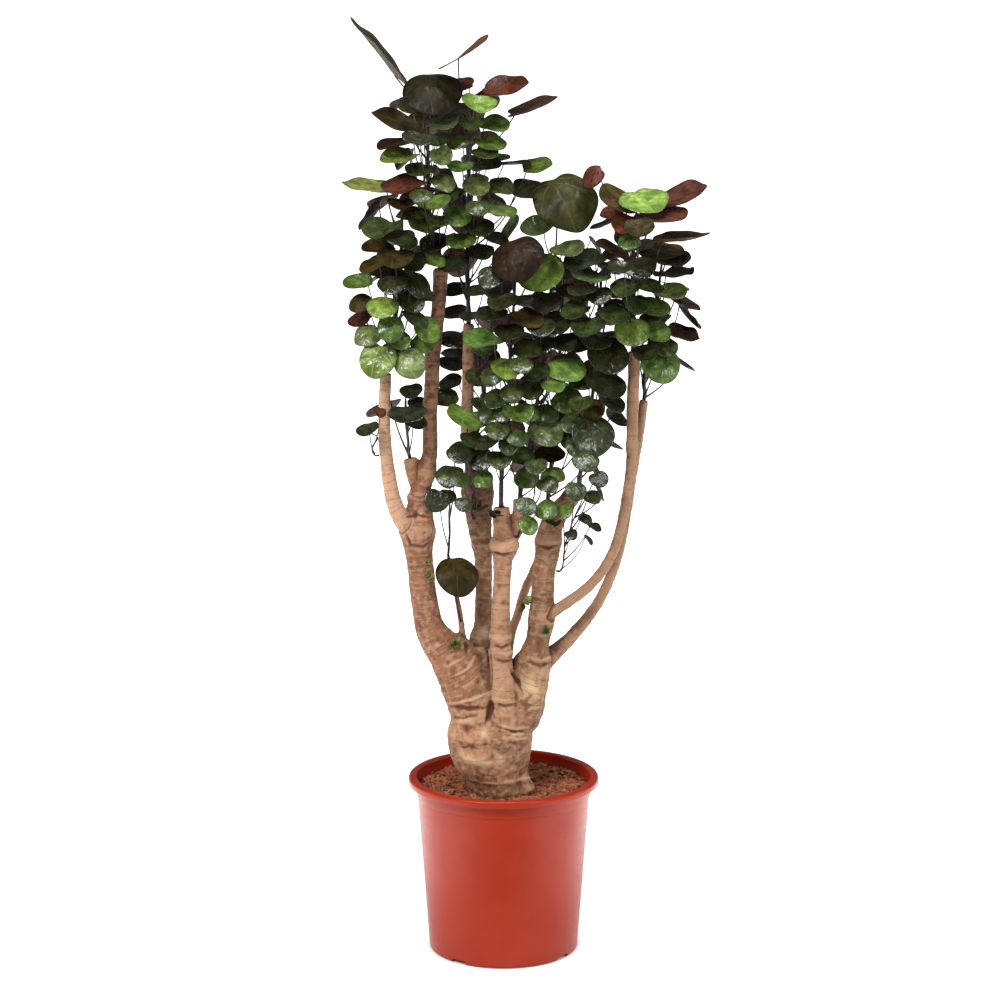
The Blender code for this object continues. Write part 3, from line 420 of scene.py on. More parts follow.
            (-119, 690, 46, 15, 6, NIGHT), (-108, 677, 26, 15, -10, NIGHT), (-122, 652, 16, 13, 0, WINE),
            (-112, 716, 26, 16, 0, NIGHT),
        ),
        1,
        more=((-104, 700, 26, 14, 8, NIGHT),),
    ),
    Shoot(
        "leafy_twig_low", "left",
        ((-62, 470, 24), (-69, 508, 26), (-67, 538, 26), (-68, 562, 26)),
        (3.0, 1.3),
        (
            (-58, 484, 50, 42, -25, OLIVE), (-83, 580, 28, 24, -20, NIGHT), (-66, 612, 32, 22),
            (-68, 585, 20, 14), (-117, 421, 26, 13, 12, NIGHT), (-56, 640, 28, 20, 10),
        ),
        0, 75.0, 412.0,
    ),
)

# Slight sprigs that only the looks add, on the sides of branches
SPRIGS = (
    Shoot(
        "sprig_middle", "middle", ((-38, 596, 0), (-46, 622, -4), (-50, 650, -2)), (1.5, 0.9),
        (
            (-52, 640, 30, 22, -10, NIGHT), (-30, 632, 28, 20, 12, NIGHT), (-54, 606, 24, 18, -20),
            (-26, 606, 24, 18, 16, GREEN), (-40, 656, 26, 16, 0), (-50, 574, 20, 16, -30, NIGHT),
            (-44, 680, 50, 18, -14, BRIGHT),
        ),
        0, -110.0, 560.0,
    ),
    Shoot(
        "sprig_fork", "front_fork", ((32, 560, -34), (38, 586, -36), (40, 606, -34)), (1.4, 0.9),
        (
            (30, 548, 22, 18, -12, BRIGHT), (52, 568, 26, 20, 22, GREEN), (28, 572, 24, 18, -16),
            (40, 622, 26, 18, 0), (54, 600, 24, 18, 14),
        ),
        0, -60.0, 545.0,
    ),
    Shoot(
        "sprig_right", "right", ((76, 520, -26), (86, 552, -28), (98, 580, -26)), (1.4, 0.8),
        (
            (102, 556, 16, 11, -24, NIGHT), (90, 592, 24, 18, 10), (110, 584, 22, 14, -18),
            (74, 566, 20, 14, 30, GREEN), (118, 606, 22, 16, -20, NIGHT), (113, 545, 16, 8, -18, NIGHT),
            (120, 590, 26, 5, -80, DUSK), (106, 530, 15, 6, -35, NIGHT), (84, 536, 14, 10, 20, NIGHT),
        ),
        0, -20.0, 498.0,
    ),
    Shoot(
        "sprig_left", "left_thin", ((-156, 658, -30), (-162, 662, -32)), (1.2, 0.9),
        ((-168, 667, 26, 13, 10, NIGHT), (-152, 690, 14, 9, -20, WINE)),
        0, 200.0, 645.0,
    ),
)


def seen(x: float, z: float, y: float) -> Vector:
    """Point at depth y that stands over (x, z) of the plane y = 0 for the viewer."""
    nearness = 1.0 + y / EYE_DISTANCE
    return Vector((x * nearness, y, EYE_HEIGHT + (z - EYE_HEIGHT) * nearness))


def as_seen(points: np.ndarray) -> tuple[np.ndarray, np.ndarray]:
    """The x and z of the plane y = 0 that each point covers for the viewer."""
    nearness = 1.0 + points[:, 1] / EYE_DISTANCE
    return points[:, 0] / nearness, EYE_HEIGHT + (points[:, 2] - EYE_HEIGHT) / nearness


def heading(turn: float) -> Vector:
    """Level direction at a turn in radians, from the right and away from the viewer."""
    return Vector((math.cos(turn), math.sin(turn), 0.0))


def seen_way(rows: Iterable[tuple]) -> Way:
    """Axis points and radii from rows of (x, z, y, radius)."""
    return [(seen(x, z, y + PLANT_DEPTH), radius) for x, z, y, radius in rows]


def branch_way(name: str) -> Way:
    """Axis points and radii of a branch."""
    return seen_way(BRANCHES[name])


def at_height(way: Way, height: float) -> tuple[Vector, float]:
    """Find where a way passes a height.

    Args:
        way: points and radii from low to high.
        height: the height asked for.

    Returns:
        The point and radius there, held at the way's ends.
    """
    if height <= way[0][0].z:
        return way[0]
    for (low, low_radius), (high, high_radius) in zip(way, way[1:]):
        if low.z <= height <= high.z:
            share = (height - low.z) / (high.z - low.z)
            return low.lerp(high, share), low_radius + share * (high_radius - low_radius)
    return way[-1]


def shoot_way(shoot: Shoot) -> Way:
    """Lead a leafy stem from its seat on a branch's tip or side.

    Args:
        shoot: the leafy stem.

    Returns:
        Its axis points and radii.
    """
    host = branch_way(shoot.host)
    if shoot.side_z:
        axis, radius = at_height(host, shoot.side_z)
        out = heading(math.radians(shoot.side))
        seat = axis + out * (radius + SPUR_GAP)
        rest = [seat + out * 5.0, seat + out * 9.0 + Vector((0.0, 0.0, 9.0))]
    else:
        tip = host[-1][0]
        out = (tip - host[-2][0]).normalized()
        seat = tip + out * SEAT_GAP
        rest = [seat + out * 9.0]
    points = [seat] + rest + [seen(x, z, y + PLANT_DEPTH) for x, z, y in shoot.way]
    first, last = shoot.radii
    steps = len(points) - 1
    return [(point, first + (last - first) * i / steps) for i, point in enumerate(points)]


@dataclass
class Placed:
    """A blade in space: where its stalk leaves the stem, its middle, its facing and tip."""

    node: str
    start: Vector
    middle: Vector
    facing: Vector
    tip: Vector
    across: float
    tone: Tone = DEEP

    @property
    def root(self) -> Vector:
        """Where the stalk meets the cupped blade, just inside the notch."""
        back = self.middle - self.tip * self.across * BLADE_ROOT
        return back + self.facing * self.across * BLADE_ROOT_LIFT


@dataclass(frozen=True)
class Clearances:
    """Clear distances that the layout keeps, in millimetres."""

    blade_to_blade: float = 5.0
    own_blade_to_blade: float = 2.6
    blade_to_stalk: float = 3.4
    own_blade_to_stalk: float = 0.4
    stalk_to_stalk: float = 2.0


# Clear distances of the leaves that only the looks add
CLOSE = Clearances(
    blade_to_blade=2.4, own_blade_to_blade=1.6, blade_to_stalk=1.2, own_blade_to_stalk=0.2, stalk_to_stalk=0.8
)


class Room:
    """What is placed so far, as balls (wood, stems, stalks) and flat discs (blades)."""

    RINGS = ((0.0, 1), (0.34, 6), (0.67, 12), (1.0, 18))
    DOTS = sum(count for _, count in RINGS)
    REACH = 120.0
    FAR = 30.0
    BALL_STEP = 5.0
    DOT_STEP = 4.0

    def __init__(self) -> None:
        """Start with nothing placed."""
        self.clear = Clearances()
        self.names: dict[str, int] = {}
        self.balls = np.zeros((0, 5))
        self.discs = np.zeros((0, 8))
        self.disc_dots = np.zeros((0, self.DOTS, 3))

    def number(self, node: str) -> int:
        """Whole number that stands for a node's name."""
        return self.names.setdefault(node, len(self.names))

    @classmethod
    def stalk_dots(cls, placed: Placed) -> np.ndarray:
        """Points along a stalk, a dot step apart."""
        steps = max(2, int((placed.root - placed.start).length / cls.DOT_STEP))
        return np.array([placed.start.lerp(placed.root, i / steps) for i in range(steps)])

    @classmethod
    def blade_dots(cls, placed: Placed) -> np.ndarray:
        """Points over a blade in four rings."""
        side = placed.facing.cross(placed.tip)
        dots = []
        for share, count in cls.RINGS:
            for i in range(count):
                angle = 2.0 * math.pi * i / count
                reach = 0.5 * placed.across * share
                across = placed.tip * math.cos(angle) + side * math.sin(angle)
                dots.append(placed.middle + across * reach)
        return np.array(dots)

    def add_balls(self, rows: Sequence[tuple]) -> None:
        """Keep balls given as (x, y, z, radius, node number)."""
        self.balls = np.vstack((self.balls, np.array(rows)))

    def add_way(self, way: Way, node: str) -> None:
        """Fill a tube's way with balls, a ball step apart.

        Args:
            way: points and radii of the tube.
            node: name of what it belongs to.
        """
        rows = []
        for (low, low_radius), (high, high_radius) in zip(way, way[1:]):
            steps = max(1, int((high - low).length / self.BALL_STEP))
            for i in range(steps + 1):
                share = i / steps
                radius = low_radius + share * (high_radius - low_radius)
                rows.append((*low.lerp(high, share), radius, self.number(node)))
        self.add_balls(rows)

    def add_leaf(self, placed: Placed) -> None:
        """Keep a placed leaf."""
        node = self.number(placed.node)
        self.add_balls([(*dot, STALK_RADIUS, node) for dot in self.stalk_dots(placed)])
        disc = np.array([(*placed.middle, *placed.facing, 0.5 * placed.across, node)])
        self.discs = np.vstack((self.discs, disc))
        self.disc_dots = np.concatenate((self.disc_dots, self.blade_dots(placed)[None]))

    @staticmethod
    def to_discs(dots: np.ndarray, at: np.ndarray, facing: np.ndarray, size: Feed) -> np.ndarray:
        """Measure from dots to flat discs, over any leading axes.

        Args:
            dots: points.
            at: middles of the discs.
            facing: directions that the discs face.
            size: radii of the discs.

        Returns:
            The distances.
        """
        offset = dots - at
        above = (offset * facing).sum(-1)
        flat = np.sqrt(np.maximum((offset * offset).sum(-1) - above * above, 0.0))
        return np.hypot(above, np.maximum(flat - size, 0.0))

    def slack(self, placed: Placed) -> float:
        """Measure how clear a new leaf would be of all the rest.

        Args:
            placed: the leaf on trial.

        Returns:
            The smallest spare distance; below zero the leaf is too near.
        """
        keep = self.clear
        at, facing = np.array(placed.middle), np.array(placed.facing)
        size = 0.5 * placed.across
        node = self.number(placed.node)
        stalk, dots = self.stalk_dots(placed), self.blade_dots(placed)
        spare = [self.FAR]
        balls = self.balls[np.linalg.norm(self.balls[:, :3] - at, axis=1) < self.REACH]
        foreign = balls[:, 4] != node
        if len(balls):
            room = self.to_discs(balls[:, :3], at, facing, size) - balls[:, 3]
            spare.append((room - np.where(foreign, keep.blade_to_stalk, keep.own_blade_to_stalk)).min())
        balls = balls[foreign]
        if len(balls):
            apart = np.linalg.norm(stalk[:, None] - balls[None, :, :3], axis=2) - balls[None, :, 3]
            spare.append(apart.min() - STALK_RADIUS - keep.stalk_to_stalk)
        near = np.linalg.norm(self.discs[:, :3] - at, axis=1) < self.REACH
        discs = self.discs[near]
        if len(discs):
            foreign = discs[:, 7] != node
            places, facings, sizes = discs[:, None, :3], discs[:, None, 3:6], discs[:, None, 6]
            apart = self.to_discs(self.disc_dots[near], at, facing, size).min(axis=1)
            apart = np.minimum(apart, self.to_discs(dots[None], places, facings, sizes).min(axis=1))
            spare.append((apart - np.where(foreign, keep.blade_to_blade, keep.own_blade_to_blade)).min())
            apart = self.to_discs(stalk[None], places, facings, sizes).min(axis=1) - STALK_RADIUS
            spare.append((apart - np.where(foreign, keep.blade_to_stalk, keep.own_blade_to_stalk)).min())
        return min(spare)


def hang(node: str, way: Way, middle: Vector, facing: Vector, across: float, droop: float) -> Placed:
    """Hang a blade on a stem.

    Args:
        node: name of the stem's node.
        way: the stem's points and radii.
        middle: middle of the blade.
        facing: direction that its upper side faces.
        across: its width.
        droop: how much its tip turns down.

    Returns:
        The leaf, its stalk led back and down to the stem.
    """
    axis = at_height(way, middle.z)[0]
    away = math.hypot(middle.x - axis.x, middle.y - axis.y)
    low, high = way[1][0].z, way[-1][0].z - 2.0
    start = at_height(way, min(max(middle.z - STALK_RISE * away - STALK_DROP, low), high))[0]
    lean = (middle - start).normalized() - Vector((0.0, 0.0, droop))
    tip = lean - facing * lean.dot(facing)
    return Placed(node, start, middle, facing, tip.normalized(), across)


def seen_leaf(shoot: Shoot, way: Way, leaf: Leaf, depth: float) -> Placed:
    """Turn a leaf as it was read from in front into one in space.

    Args:
        shoot: the leafy stem.
        way: its points and radii.
        leaf: the leaf as it is seen.
        depth: its depth.

    Returns:
        The leaf that looks so from in front.
    """
    to_eye = Vector((0.0, -math.cos(VIEW_PITCH), math.sin(VIEW_PITCH)))
    turn = math.radians(leaf.turn)
    up = to_eye.cross(Vector((math.cos(turn), 0.0, math.sin(turn)))).normalized()
    share = min(SEEN_MOST, leaf.seen / leaf.across)
    facing = to_eye * share + up * math.sqrt(1.0 - share * share)
    middle = seen(leaf.x, leaf.z, depth)
    placed = hang(shoot.name, way, middle, facing, leaf.across, SEEN_DROOP * share)
    return replace(placed, tone=leaf.tone)


def place_read_leaves(
    shoot: Shoot, way: Way, leaves: Sequence[tuple], room: Room, draw: random.Random
) -> list[Placed]:
    """Place leaves read from in front, each moved along the view until it is clear.

    Args:
        shoot: the leafy stem.
        way: its points and radii.
        leaves: rows of the leaves as they are seen.
        room: what is placed so far.
        draw: the seeded draw.

    Returns:
        The leaves that found room.
    """
    placed = []
    nearest = READ_NEAREST * READ_NEAREST
    for leaf in (Leaf(*row) for row in leaves):
        axis = at_height(way, leaf.z - READ_BELOW)[0]
        reach = draw.uniform(*READ_REACH)
        depth = axis.y - math.sqrt(max(reach * reach - (leaf.x - axis.x) ** 2, nearest))
        best = None
        for step in range(DEPTH_TRIALS):
            shift = DEPTH_STEP * ((step + 1) // 2) * (1.0 if step % 2 else -1.0)
            trial = seen_leaf(shoot, way, leaf, depth + shift)
            slack = room.slack(trial)
            if best is None or slack > best[0]:
                best = (slack, trial)
            if slack >= 0.0:
                break
        if best[0] > -SPARE_ALLOWED:
            room.add_leaf(best[1])
            placed.append(best[1])
    return placed


# Tones of the leaves inside the crown
INNER_TONES = (NIGHT, DEEP, DUSK, NIGHT, OLIVE)


def place_fill_leaves(shoot: Shoot, way: Way, count: int, room: Room, draw: random.Random) -> list[Placed]:
    """Place further leaves round the stem by the golden angle, mostly behind it.

    Args:
        shoot: the leafy stem.
        way: its points and radii.
        count: how many to try for.
        room: what is placed so far.
        draw: the seeded draw.

    Returns:
        The leaves that found room.
    """
    placed = []
    low, high = way[1][0].z + FILL_FOOT, way[-1][0].z + FILL_HEAD
    for i in range(count):
        height = low + (high - low) * (i + 0.5) / count
        for attempt in range(FILL_TRIALS):
            turn = (i * 5 + attempt) * GOLDEN_ANGLE
            reach = draw.uniform(*FILL_REACH)
            across = draw.uniform(*FILL_ACROSS)
            out = heading(turn)
            axis = at_height(way, height)[0]
            middle = axis + out * reach + Vector((0.0, 0.0, draw.uniform(-FILL_STRAY, FILL_STRAY)))
            lean = math.radians(draw.uniform(*FILL_LEAN))
            facing = Vector((0.0, 0.0, 1.0)) * math.cos(lean) + out * math.sin(lean)
            if out.y < FILL_FRONT:
                continue
            trial = hang(shoot.name, way, middle, facing, across, FILL_DROOP)
            trial.tone = INNER_TONES[(3 * i + attempt) % len(INNER_TONES)]
            if room.slack(trial) >= 0.0:
                room.add_leaf(trial)
                placed.append(trial)
                break
    return placed


def lay_out_leaves() -> tuple[dict[str, Way], dict[str, list[Placed]]]:
    """Lay out every leaf, first those of the solids, then those that only the looks add.

    Returns:
        The stems' ways and their leaves, both by the name of the leafy stem.
    """
    room = Room()
    for name in BRANCHES:
        room.add_way(branch_way(name), "trunk")
    ways = {shoot.name: shoot_way(shoot) for shoot in SHOOTS}
    for name, way in ways.items():
        room.add_way(way, name)
    draw = random.Random(READ_SEED)
    leaves = {}
    for shoot in SHOOTS:
        leaves[shoot.name] = place_read_leaves(shoot, ways[shoot.name], shoot.leaves, room, draw)
    for shoot in SHOOTS:
        leaves[shoot.name] += place_fill_leaves(shoot, ways[shoot.name], shoot.fill, room, draw)
    room.clear = CLOSE
    draw = random.Random(MORE_SEED)
    for shoot in SPRIGS:
        ways[shoot.name] = shoot_way(shoot)
        leaves[shoot.name] = place_read_leaves(shoot, ways[shoot.name], shoot.leaves, room, draw)
    for shoot in SHOOTS:
        leaves[shoot.name] += place_read_leaves(shoot, ways[shoot.name], shoot.more, room, draw)
    for shoot in SHOOTS:
        leaves[shoot.name] += place_fill_leaves(shoot, ways[shoot.name], shoot.more_fill, room, draw)
    return ways, leaves


class Look:
    """A procedural material being made, with plain steps for its nodes."""

    def __init__(self, name: str) -> None:
        """Open a new material.

        Args:
            name: the finish's name.
        """
        self.material = bpy.data.materials.new(name)
        self.material.use_nodes = True
        self.nodes = self.material.node_tree.nodes
        self.links = self.material.node_tree.links
        self.shader = self.nodes["Principled BSDF"]

    def node(self, kind: str, **settings: object) -> bpy.types.Node:
        """Add a node and set its own settings.

        Args:
            kind: the node's type.
            settings: names and values to set on it.

        Returns:
            The node.
        """
        made = self.nodes.new(kind)
        for name, value in settings.items():
            setattr(made, name, value)
        return made

    def feed(self, socket: bpy.types.NodeSocket, value: Feed) -> None:
        """Give an input a number, a colour or what another node puts out."""
        if isinstance(value, bpy.types.NodeSocket):
            self.links.new(value, socket)
        else:
            socket.default_value = value

    def place(self) -> bpy.types.NodeSocket:
        """Object coordinates, in metres."""
        return self.node("ShaderNodeTexCoord").outputs["Object"]

    def attribute(self, name: str, output: str) -> bpy.types.NodeSocket:
        """What the piece's own attribute holds, as Color, Vector or Fac."""
        return self.node("ShaderNodeAttribute", attribute_name=name).outputs[output]

    def stretched(self, place: bpy.types.NodeSocket, scale: Sequence[float]) -> bpy.types.NodeSocket:
        """Coordinates scaled by three factors."""
        mapping = self.node("ShaderNodeMapping")
        self.feed(mapping.inputs["Vector"], place)
        mapping.inputs["Scale"].default_value = scale
        return mapping.outputs["Vector"]

    def math(self, operation: str, first: Feed, second: Feed = 0.0) -> bpy.types.NodeSocket:
        """One sum on numbers."""
        made = self.node("ShaderNodeMath", operation=operation)
        self.feed(made.inputs[0], first)
        self.feed(made.inputs[1], second)
        return made.outputs[0]

    def times(self, first: Feed, second: Feed) -> bpy.types.NodeSocket:
        """Product of two numbers."""
        return self.math("MULTIPLY", first, second)

    def plus(self, first: Feed, second: Feed) -> bpy.types.NodeSocket:
        """Sum of two numbers."""
        return self.math("ADD", first, second)

    def length(self, vector: bpy.types.NodeSocket) -> bpy.types.NodeSocket:
        """Length of a vector."""
        made = self.node("ShaderNodeVectorMath", operation="LENGTH")
        self.feed(made.inputs[0], vector)
        return made.outputs["Value"]

    def parts(self, vector: bpy.types.NodeSocket) -> Sequence[bpy.types.NodeSocket]:
        """The three parts of a vector."""
        made = self.node("ShaderNodeSeparateXYZ")
        self.feed(made.inputs[0], vector)
        return made.outputs

    def shifted(self, place: bpy.types.NodeSocket, scale: float, amount: float) -> bpy.types.NodeSocket:
        """Bend coordinates by a soft noise.

        Args:
            place: the coordinates.
            scale: how fine the noise is.
            amount: how far it moves them.

        Returns:
            The bent coordinates.
        """
        cloud = self.node("ShaderNodeTexNoise")
        self.feed(cloud.inputs["Vector"], place)
        cloud.inputs["Scale"].default_value = scale
        cloud.inputs["Detail"].default_value = 1.0
        move = self.node("ShaderNodeVectorMath", operation="MULTIPLY_ADD")
        self.feed(move.inputs[0], cloud.outputs["Color"])
        move.inputs[1].default_value = (amount, amount, amount)
        self.feed(move.inputs[2], place)
        return move.outputs[0]

    def noise(
        self, place: bpy.types.NodeSocket, scale: float, detail: float = 4.0, rough: float = 0.55
    ) -> bpy.types.NodeSocket:
        """Cloudy noise.

        Args:
            place: coordinates to read.
            scale: features over one unit.
            detail: how many finer layers it has.
            rough: how strong those are.

        Returns:
            A number about one half.
        """
        made = self.node("ShaderNodeTexNoise")
        self.feed(made.inputs["Vector"], place)
        made.inputs["Scale"].default_value = scale
        made.inputs["Detail"].default_value = detail
        made.inputs["Roughness"].default_value = rough
        return made.outputs["Fac"]

    def cells(self, place: bpy.types.NodeSocket, scale: float, kind: str) -> bpy.types.NodeSocket:
        """Distance in a pattern of cells, of the kind asked for."""
        made = self.node("ShaderNodeTexVoronoi", feature=kind)
        self.feed(made.inputs["Vector"], place)
        made.inputs["Scale"].default_value = scale
        return made.outputs["Distance"]

    def spread(
        self, value: Feed, low: float, high: float, to_low: float = 0.0, to_high: float = 1.0
    ) -> bpy.types.NodeSocket:
        """Map a range to another and hold it at the ends.

        Args:
            value: the number.
            low, high: the range that it is read in.
            to_low, to_high: the range that it is given out in.

        Returns:
            The mapped number's socket.
        """
        made = self.node("ShaderNodeMapRange", interpolation_type="SMOOTHSTEP")
        self.feed(made.inputs["Value"], value)
        made.inputs["From Min"].default_value = low
        made.inputs["From Max"].default_value = high
        made.inputs["To Min"].default_value = to_low
        made.inputs["To Max"].default_value = to_high
        return made.outputs["Result"]

    def mix(self, share: Feed, first: Feed, second: Feed, blend: str = "MIX") -> bpy.types.NodeSocket:
        """Mix two colours.

        Args:
            share: how much of the second.
            first: the colour below.
            second: the colour on top.
            blend: how the second goes on.

        Returns:
            The mixed colour's socket.
        """
        made = self.node("ShaderNodeMix", data_type="RGBA", blend_type=blend)
        self.feed(made.inputs[0], share)
        self.feed(made.inputs[6], first)
        self.feed(made.inputs[7], second)
        return made.outputs[2]

    def ramp(self, value: Feed, stops: Sequence[tuple[float, Colour]]) -> bpy.types.NodeSocket:
        """Colour by a number.

        Args:
            value: the number.
            stops: places and colours along it.

        Returns:
            The colour's socket.
        """
        made = self.node("ShaderNodeValToRGB")
        elements = made.color_ramp.elements
        while len(elements) < len(stops):
            elements.new(0.5)
        for element, (place, colour) in zip(elements, stops):
            element.position = place
            element.color = colour
        self.feed(made.inputs[0], value)
        return made.outputs["Color"]

    def bump(self, height: Feed, depth: float, strength: float) -> bpy.types.NodeSocket:
        """Relief in the shading.

        Args:
            height: the relief from 0 to 1.
            depth: what 1 stands for, in millimetres.
            strength: how much of it shows.

        Returns:
            The normal's socket.
        """
        made = self.node("ShaderNodeBump")
        made.inputs["Distance"].default_value = depth * MM
        made.inputs["Strength"].default_value = strength
        self.feed(made.inputs["Height"], height)
        return made.outputs["Normal"]

    def surface(self, colour: Feed, roughness: Feed, normal: Feed, shine: float) -> None:
        """Give the shader what every finish has.

        Args:
            colour: its colour.
            roughness: its roughness.
            normal: its relief.
            shine: its specular level, one number all over.
        """
        self.feed(self.shader.inputs["Base Color"], colour)
        self.feed(self.shader.inputs["Roughness"], roughness)
        self.feed(self.shader.inputs["Normal"], normal)
        self.shader.inputs["Specular IOR Level"].default_value = shine


@dataclass(frozen=True)
class TerracottaPlastic:
    """Moulded nursery pot plastic: even, half matt, with faint flow marks and scuffs."""

    name: str = "terracotta_plastic"
    colour: Colour = screen(152, 36, 5)
    worn: Colour = screen(165, 50, 17)

    def material(self) -> bpy.types.Material:
        """Make the finish."""
        look = Look(self.name)
        place = look.place()
        cloud = look.noise(place, 22.0, 3.0)
        flow = look.noise(look.stretched(place, (1.0, 1.0, 0.06)), 320.0, 3.0)
        scuff = look.noise(look.stretched(place, (1.0, 1.0, 3.0)), 90.0, 6.0, 0.7)
        grain = look.noise(place, 2400.0, 2.0)
        worn = look.times(look.spread(scuff, 0.58, 0.74), 0.35)
        colour = look.mix(look.spread(cloud, 0.3, 0.7, 0.0, 0.3), self.colour, self.worn)
        colour = look.mix(worn, colour, self.worn)
        relief = look.plus(look.times(flow, 0.6), look.times(grain, 0.4))
        look.surface(colour, look.spread(scuff, 0.3, 0.75, 0.27, 0.42), look.bump(relief, 0.10, 0.3), 0.25)
        return look.material


@dataclass(frozen=True)
class Peat:
    """Damp reddish peat with coir: painted shade in its dark hollows, brown body and pale bits."""

    name: str = "peat"
    hollow: Colour = screen(84, 44, 28)
    body: Colour = screen(162, 96, 64)
    warm: Colour = screen(190, 120, 82)
    pale: Colour = screen(220, 170, 126)

    def material(self) -> bpy.types.Material:
        """Make the finish."""
        look = Look(self.name)
        place = look.place()
        clumps = look.noise(place, 95.0, 5.0, 0.65)
        bits = look.cells(look.shifted(place, 160.0, 0.004), 420.0, "F1")
        fine = look.noise(place, 900.0, 4.0, 0.7)
        # Painted shade: the darkest colour goes where the relief is low, in the clumps' hollows and between
        # the bits.
        stops = ((0.30, self.hollow), (0.47, self.body), (0.62, self.warm), (0.80, self.pale))
        blend = look.plus(look.times(clumps, 0.7), look.times(fine, 0.32))
        colour = look.ramp(blend, stops)
        colour = look.mix(look.spread(bits, 0.55, 0.9, 0.0, 0.6), colour, self.hollow)
        relief = look.math("SUBTRACT", look.plus(clumps, look.times(fine, 0.8)), bits)
        look.surface(colour, look.spread(fine, 0.3, 0.7, 0.8, 0.98), look.bump(relief, 1.6, 0.8), 0.25)
        return look.material


@dataclass(frozen=True)
class PeatBits:
    """Loose crumbs and coir fibres, each in its own tone from the attribute bit_tone."""

    name: str = "peat_bits"

    def material(self) -> bpy.types.Material:
        """Make the finish."""
        look = Look(self.name)
        place = look.place()
        fine = look.noise(place, 800.0, 4.0, 0.7)
        tone = look.attribute("bit_tone", "Color")
        colour = look.mix(look.spread(fine, 0.35, 0.7, 0.0, 0.55), tone, screen(48, 28, 20))
        look.surface(colour, look.spread(fine, 0.3, 0.7, 0.75, 0.95), look.bump(fine, 0.8, 0.7), 0.25)
        return look.material


@dataclass(frozen=True)
class Bark:
    """Ringed bark: tints painted on the piece, pale broken scar rings and dark fine cracks, with painted
    shade in its creases and painted highlights on its raised edges.
    """

    name: str = "ringed_bark"
    ring: Colour = screen(206, 170, 136)
    crack_and_shade: Colour = screen(82, 46, 30)
    dust_and_highlight: Colour = screen(204, 162, 128)
    ring_step: float = 10.0
    fine_step: float = 3.6

    def rings(self, look: Look, along: Feed, wobble: Feed, step: float, shift: float) -> bpy.types.NodeSocket:
        """Distance from the nearest ring, with rings at uneven steps along a branch.

        Args:
            look: the material being made.
            along: millimetres along the branch.
            wobble: how far a ring strays, in steps.
            step: mean distance between rings in millimetres.
            shift: offset of the pattern in steps.

        Returns:
            The distance in steps.
        """
        count = look.plus(look.times(along, 1.0 / step), look.plus(wobble, shift))
        made = look.node("ShaderNodeTexVoronoi", feature="DISTANCE_TO_EDGE", voronoi_dimensions="1D")
        look.feed(made.inputs["W"], count)
        made.inputs["Scale"].default_value = 1.0
        return made.outputs["Distance"]

    def material(self) -> bpy.types.Material:
        """Make the finish."""
        look = Look(self.name)
        place = look.place()
        around = look.attribute("bark_place", "Vector")
        along = look.parts(around)[2]
        tint = look.attribute("bark_tint", "Color")
        hollow = look.attribute("bark_hollow", "Fac")
        calm = look.attribute("bark_calm", "Fac")
        broad = look.noise(place, 42.0, 4.0, 0.6)
        mottle = look.noise(place, 190.0, 5.0, 0.7)
        fine = look.noise(place, 1200.0, 3.0, 0.7)
        weave = look.noise(look.stretched(around, (0.30, 0.30, 1.6)), 1.0, 5.0, 0.75)
        grain = look.noise(look.stretched(around, (1.5, 1.5, 0.16)), 1.0, 4.0, 0.7)
        wander = look.noise(place, 55.0, 2.0)
        wobble = look.times(wander, 0.9)
        broken = look.noise(look.stretched(around, (0.30, 0.30, 0.09)), 1.0, 1.0)
        coarse = self.rings(look, along, wobble, self.ring_step, 0.0)
        under = self.rings(look, along, wobble, self.ring_step, 0.075)
        thin = self.rings(look, along, look.times(wander, 2.6), self.fine_step, 0.4)
        shown = look.times(calm, look.spread(broken, 0.28, 0.52))
        line = look.times(look.spread(coarse, 0.055, 0.022), shown)
        shade = look.times(look.spread(under, 0.07, 0.02), shown)
        thread = look.times(look.spread(thin, 0.16, 0.04), calm)
        dark = look.mix(1.0, tint, screen(192, 178, 168), "MULTIPLY")
        colour = look.mix(look.spread(broad, 0.30, 0.56), dark, tint)
        colour = look.mix(look.spread(mottle, 0.50, 0.74, 0.0, 0.16), colour, self.dust_and_highlight)
        colour = look.mix(look.spread(weave, 0.54, 0.76, 0.0, 0.42), colour, self.dust_and_highlight)
        colour = look.mix(look.spread(weave, 0.50, 0.22, 0.0, 0.24), colour, self.crack_and_shade)
        colour = look.mix(look.spread(grain, 0.46, 0.24, 0.0, 0.20), colour, self.crack_and_shade)
        crazed = look.times(thread, look.spread(mottle, 0.60, 0.40, 0.0, 0.34))
        colour = look.mix(crazed, colour, self.crack_and_shade)
        colour = look.mix(look.times(shade, 0.55), colour, self.crack_and_shade)
        colour = look.mix(look.times(line, 0.42), colour, self.ring)
        # Painted shade in the skin's creases and painted highlights on its raised edges, read from
        # bark_hollow.
        colour = look.mix(look.spread(hollow, 0.08, 0.9, 0.0, 0.72), colour, self.crack_and_shade)
        colour = look.mix(look.spread(hollow, -0.08, -0.8, 0.0, 0.5), colour, self.dust_and_highlight)
        colour = look.mix(look.spread(fine, 0.35, 0.72, 0.0, 0.28), colour, self.crack_and_shade)
        relief = look.plus(look.times(weave, 0.9), look.times(mottle, 0.8))
        relief = look.plus(relief, look.times(grain, 0.4))
        relief = look.plus(relief, look.times(fine, 0.25))
        relief = look.plus(relief, look.times(line, 0.55))
        relief = look.math("SUBTRACT", relief, look.times(thread, 0.16))
        relief = look.math("SUBTRACT", relief, look.times(shade, 0.35))
        look.surface(colour, look.spread(mottle, 0.3, 0.7, 0.58, 0.82), look.bump(relief, 1.3, 0.9), 0.3)
        return look.material


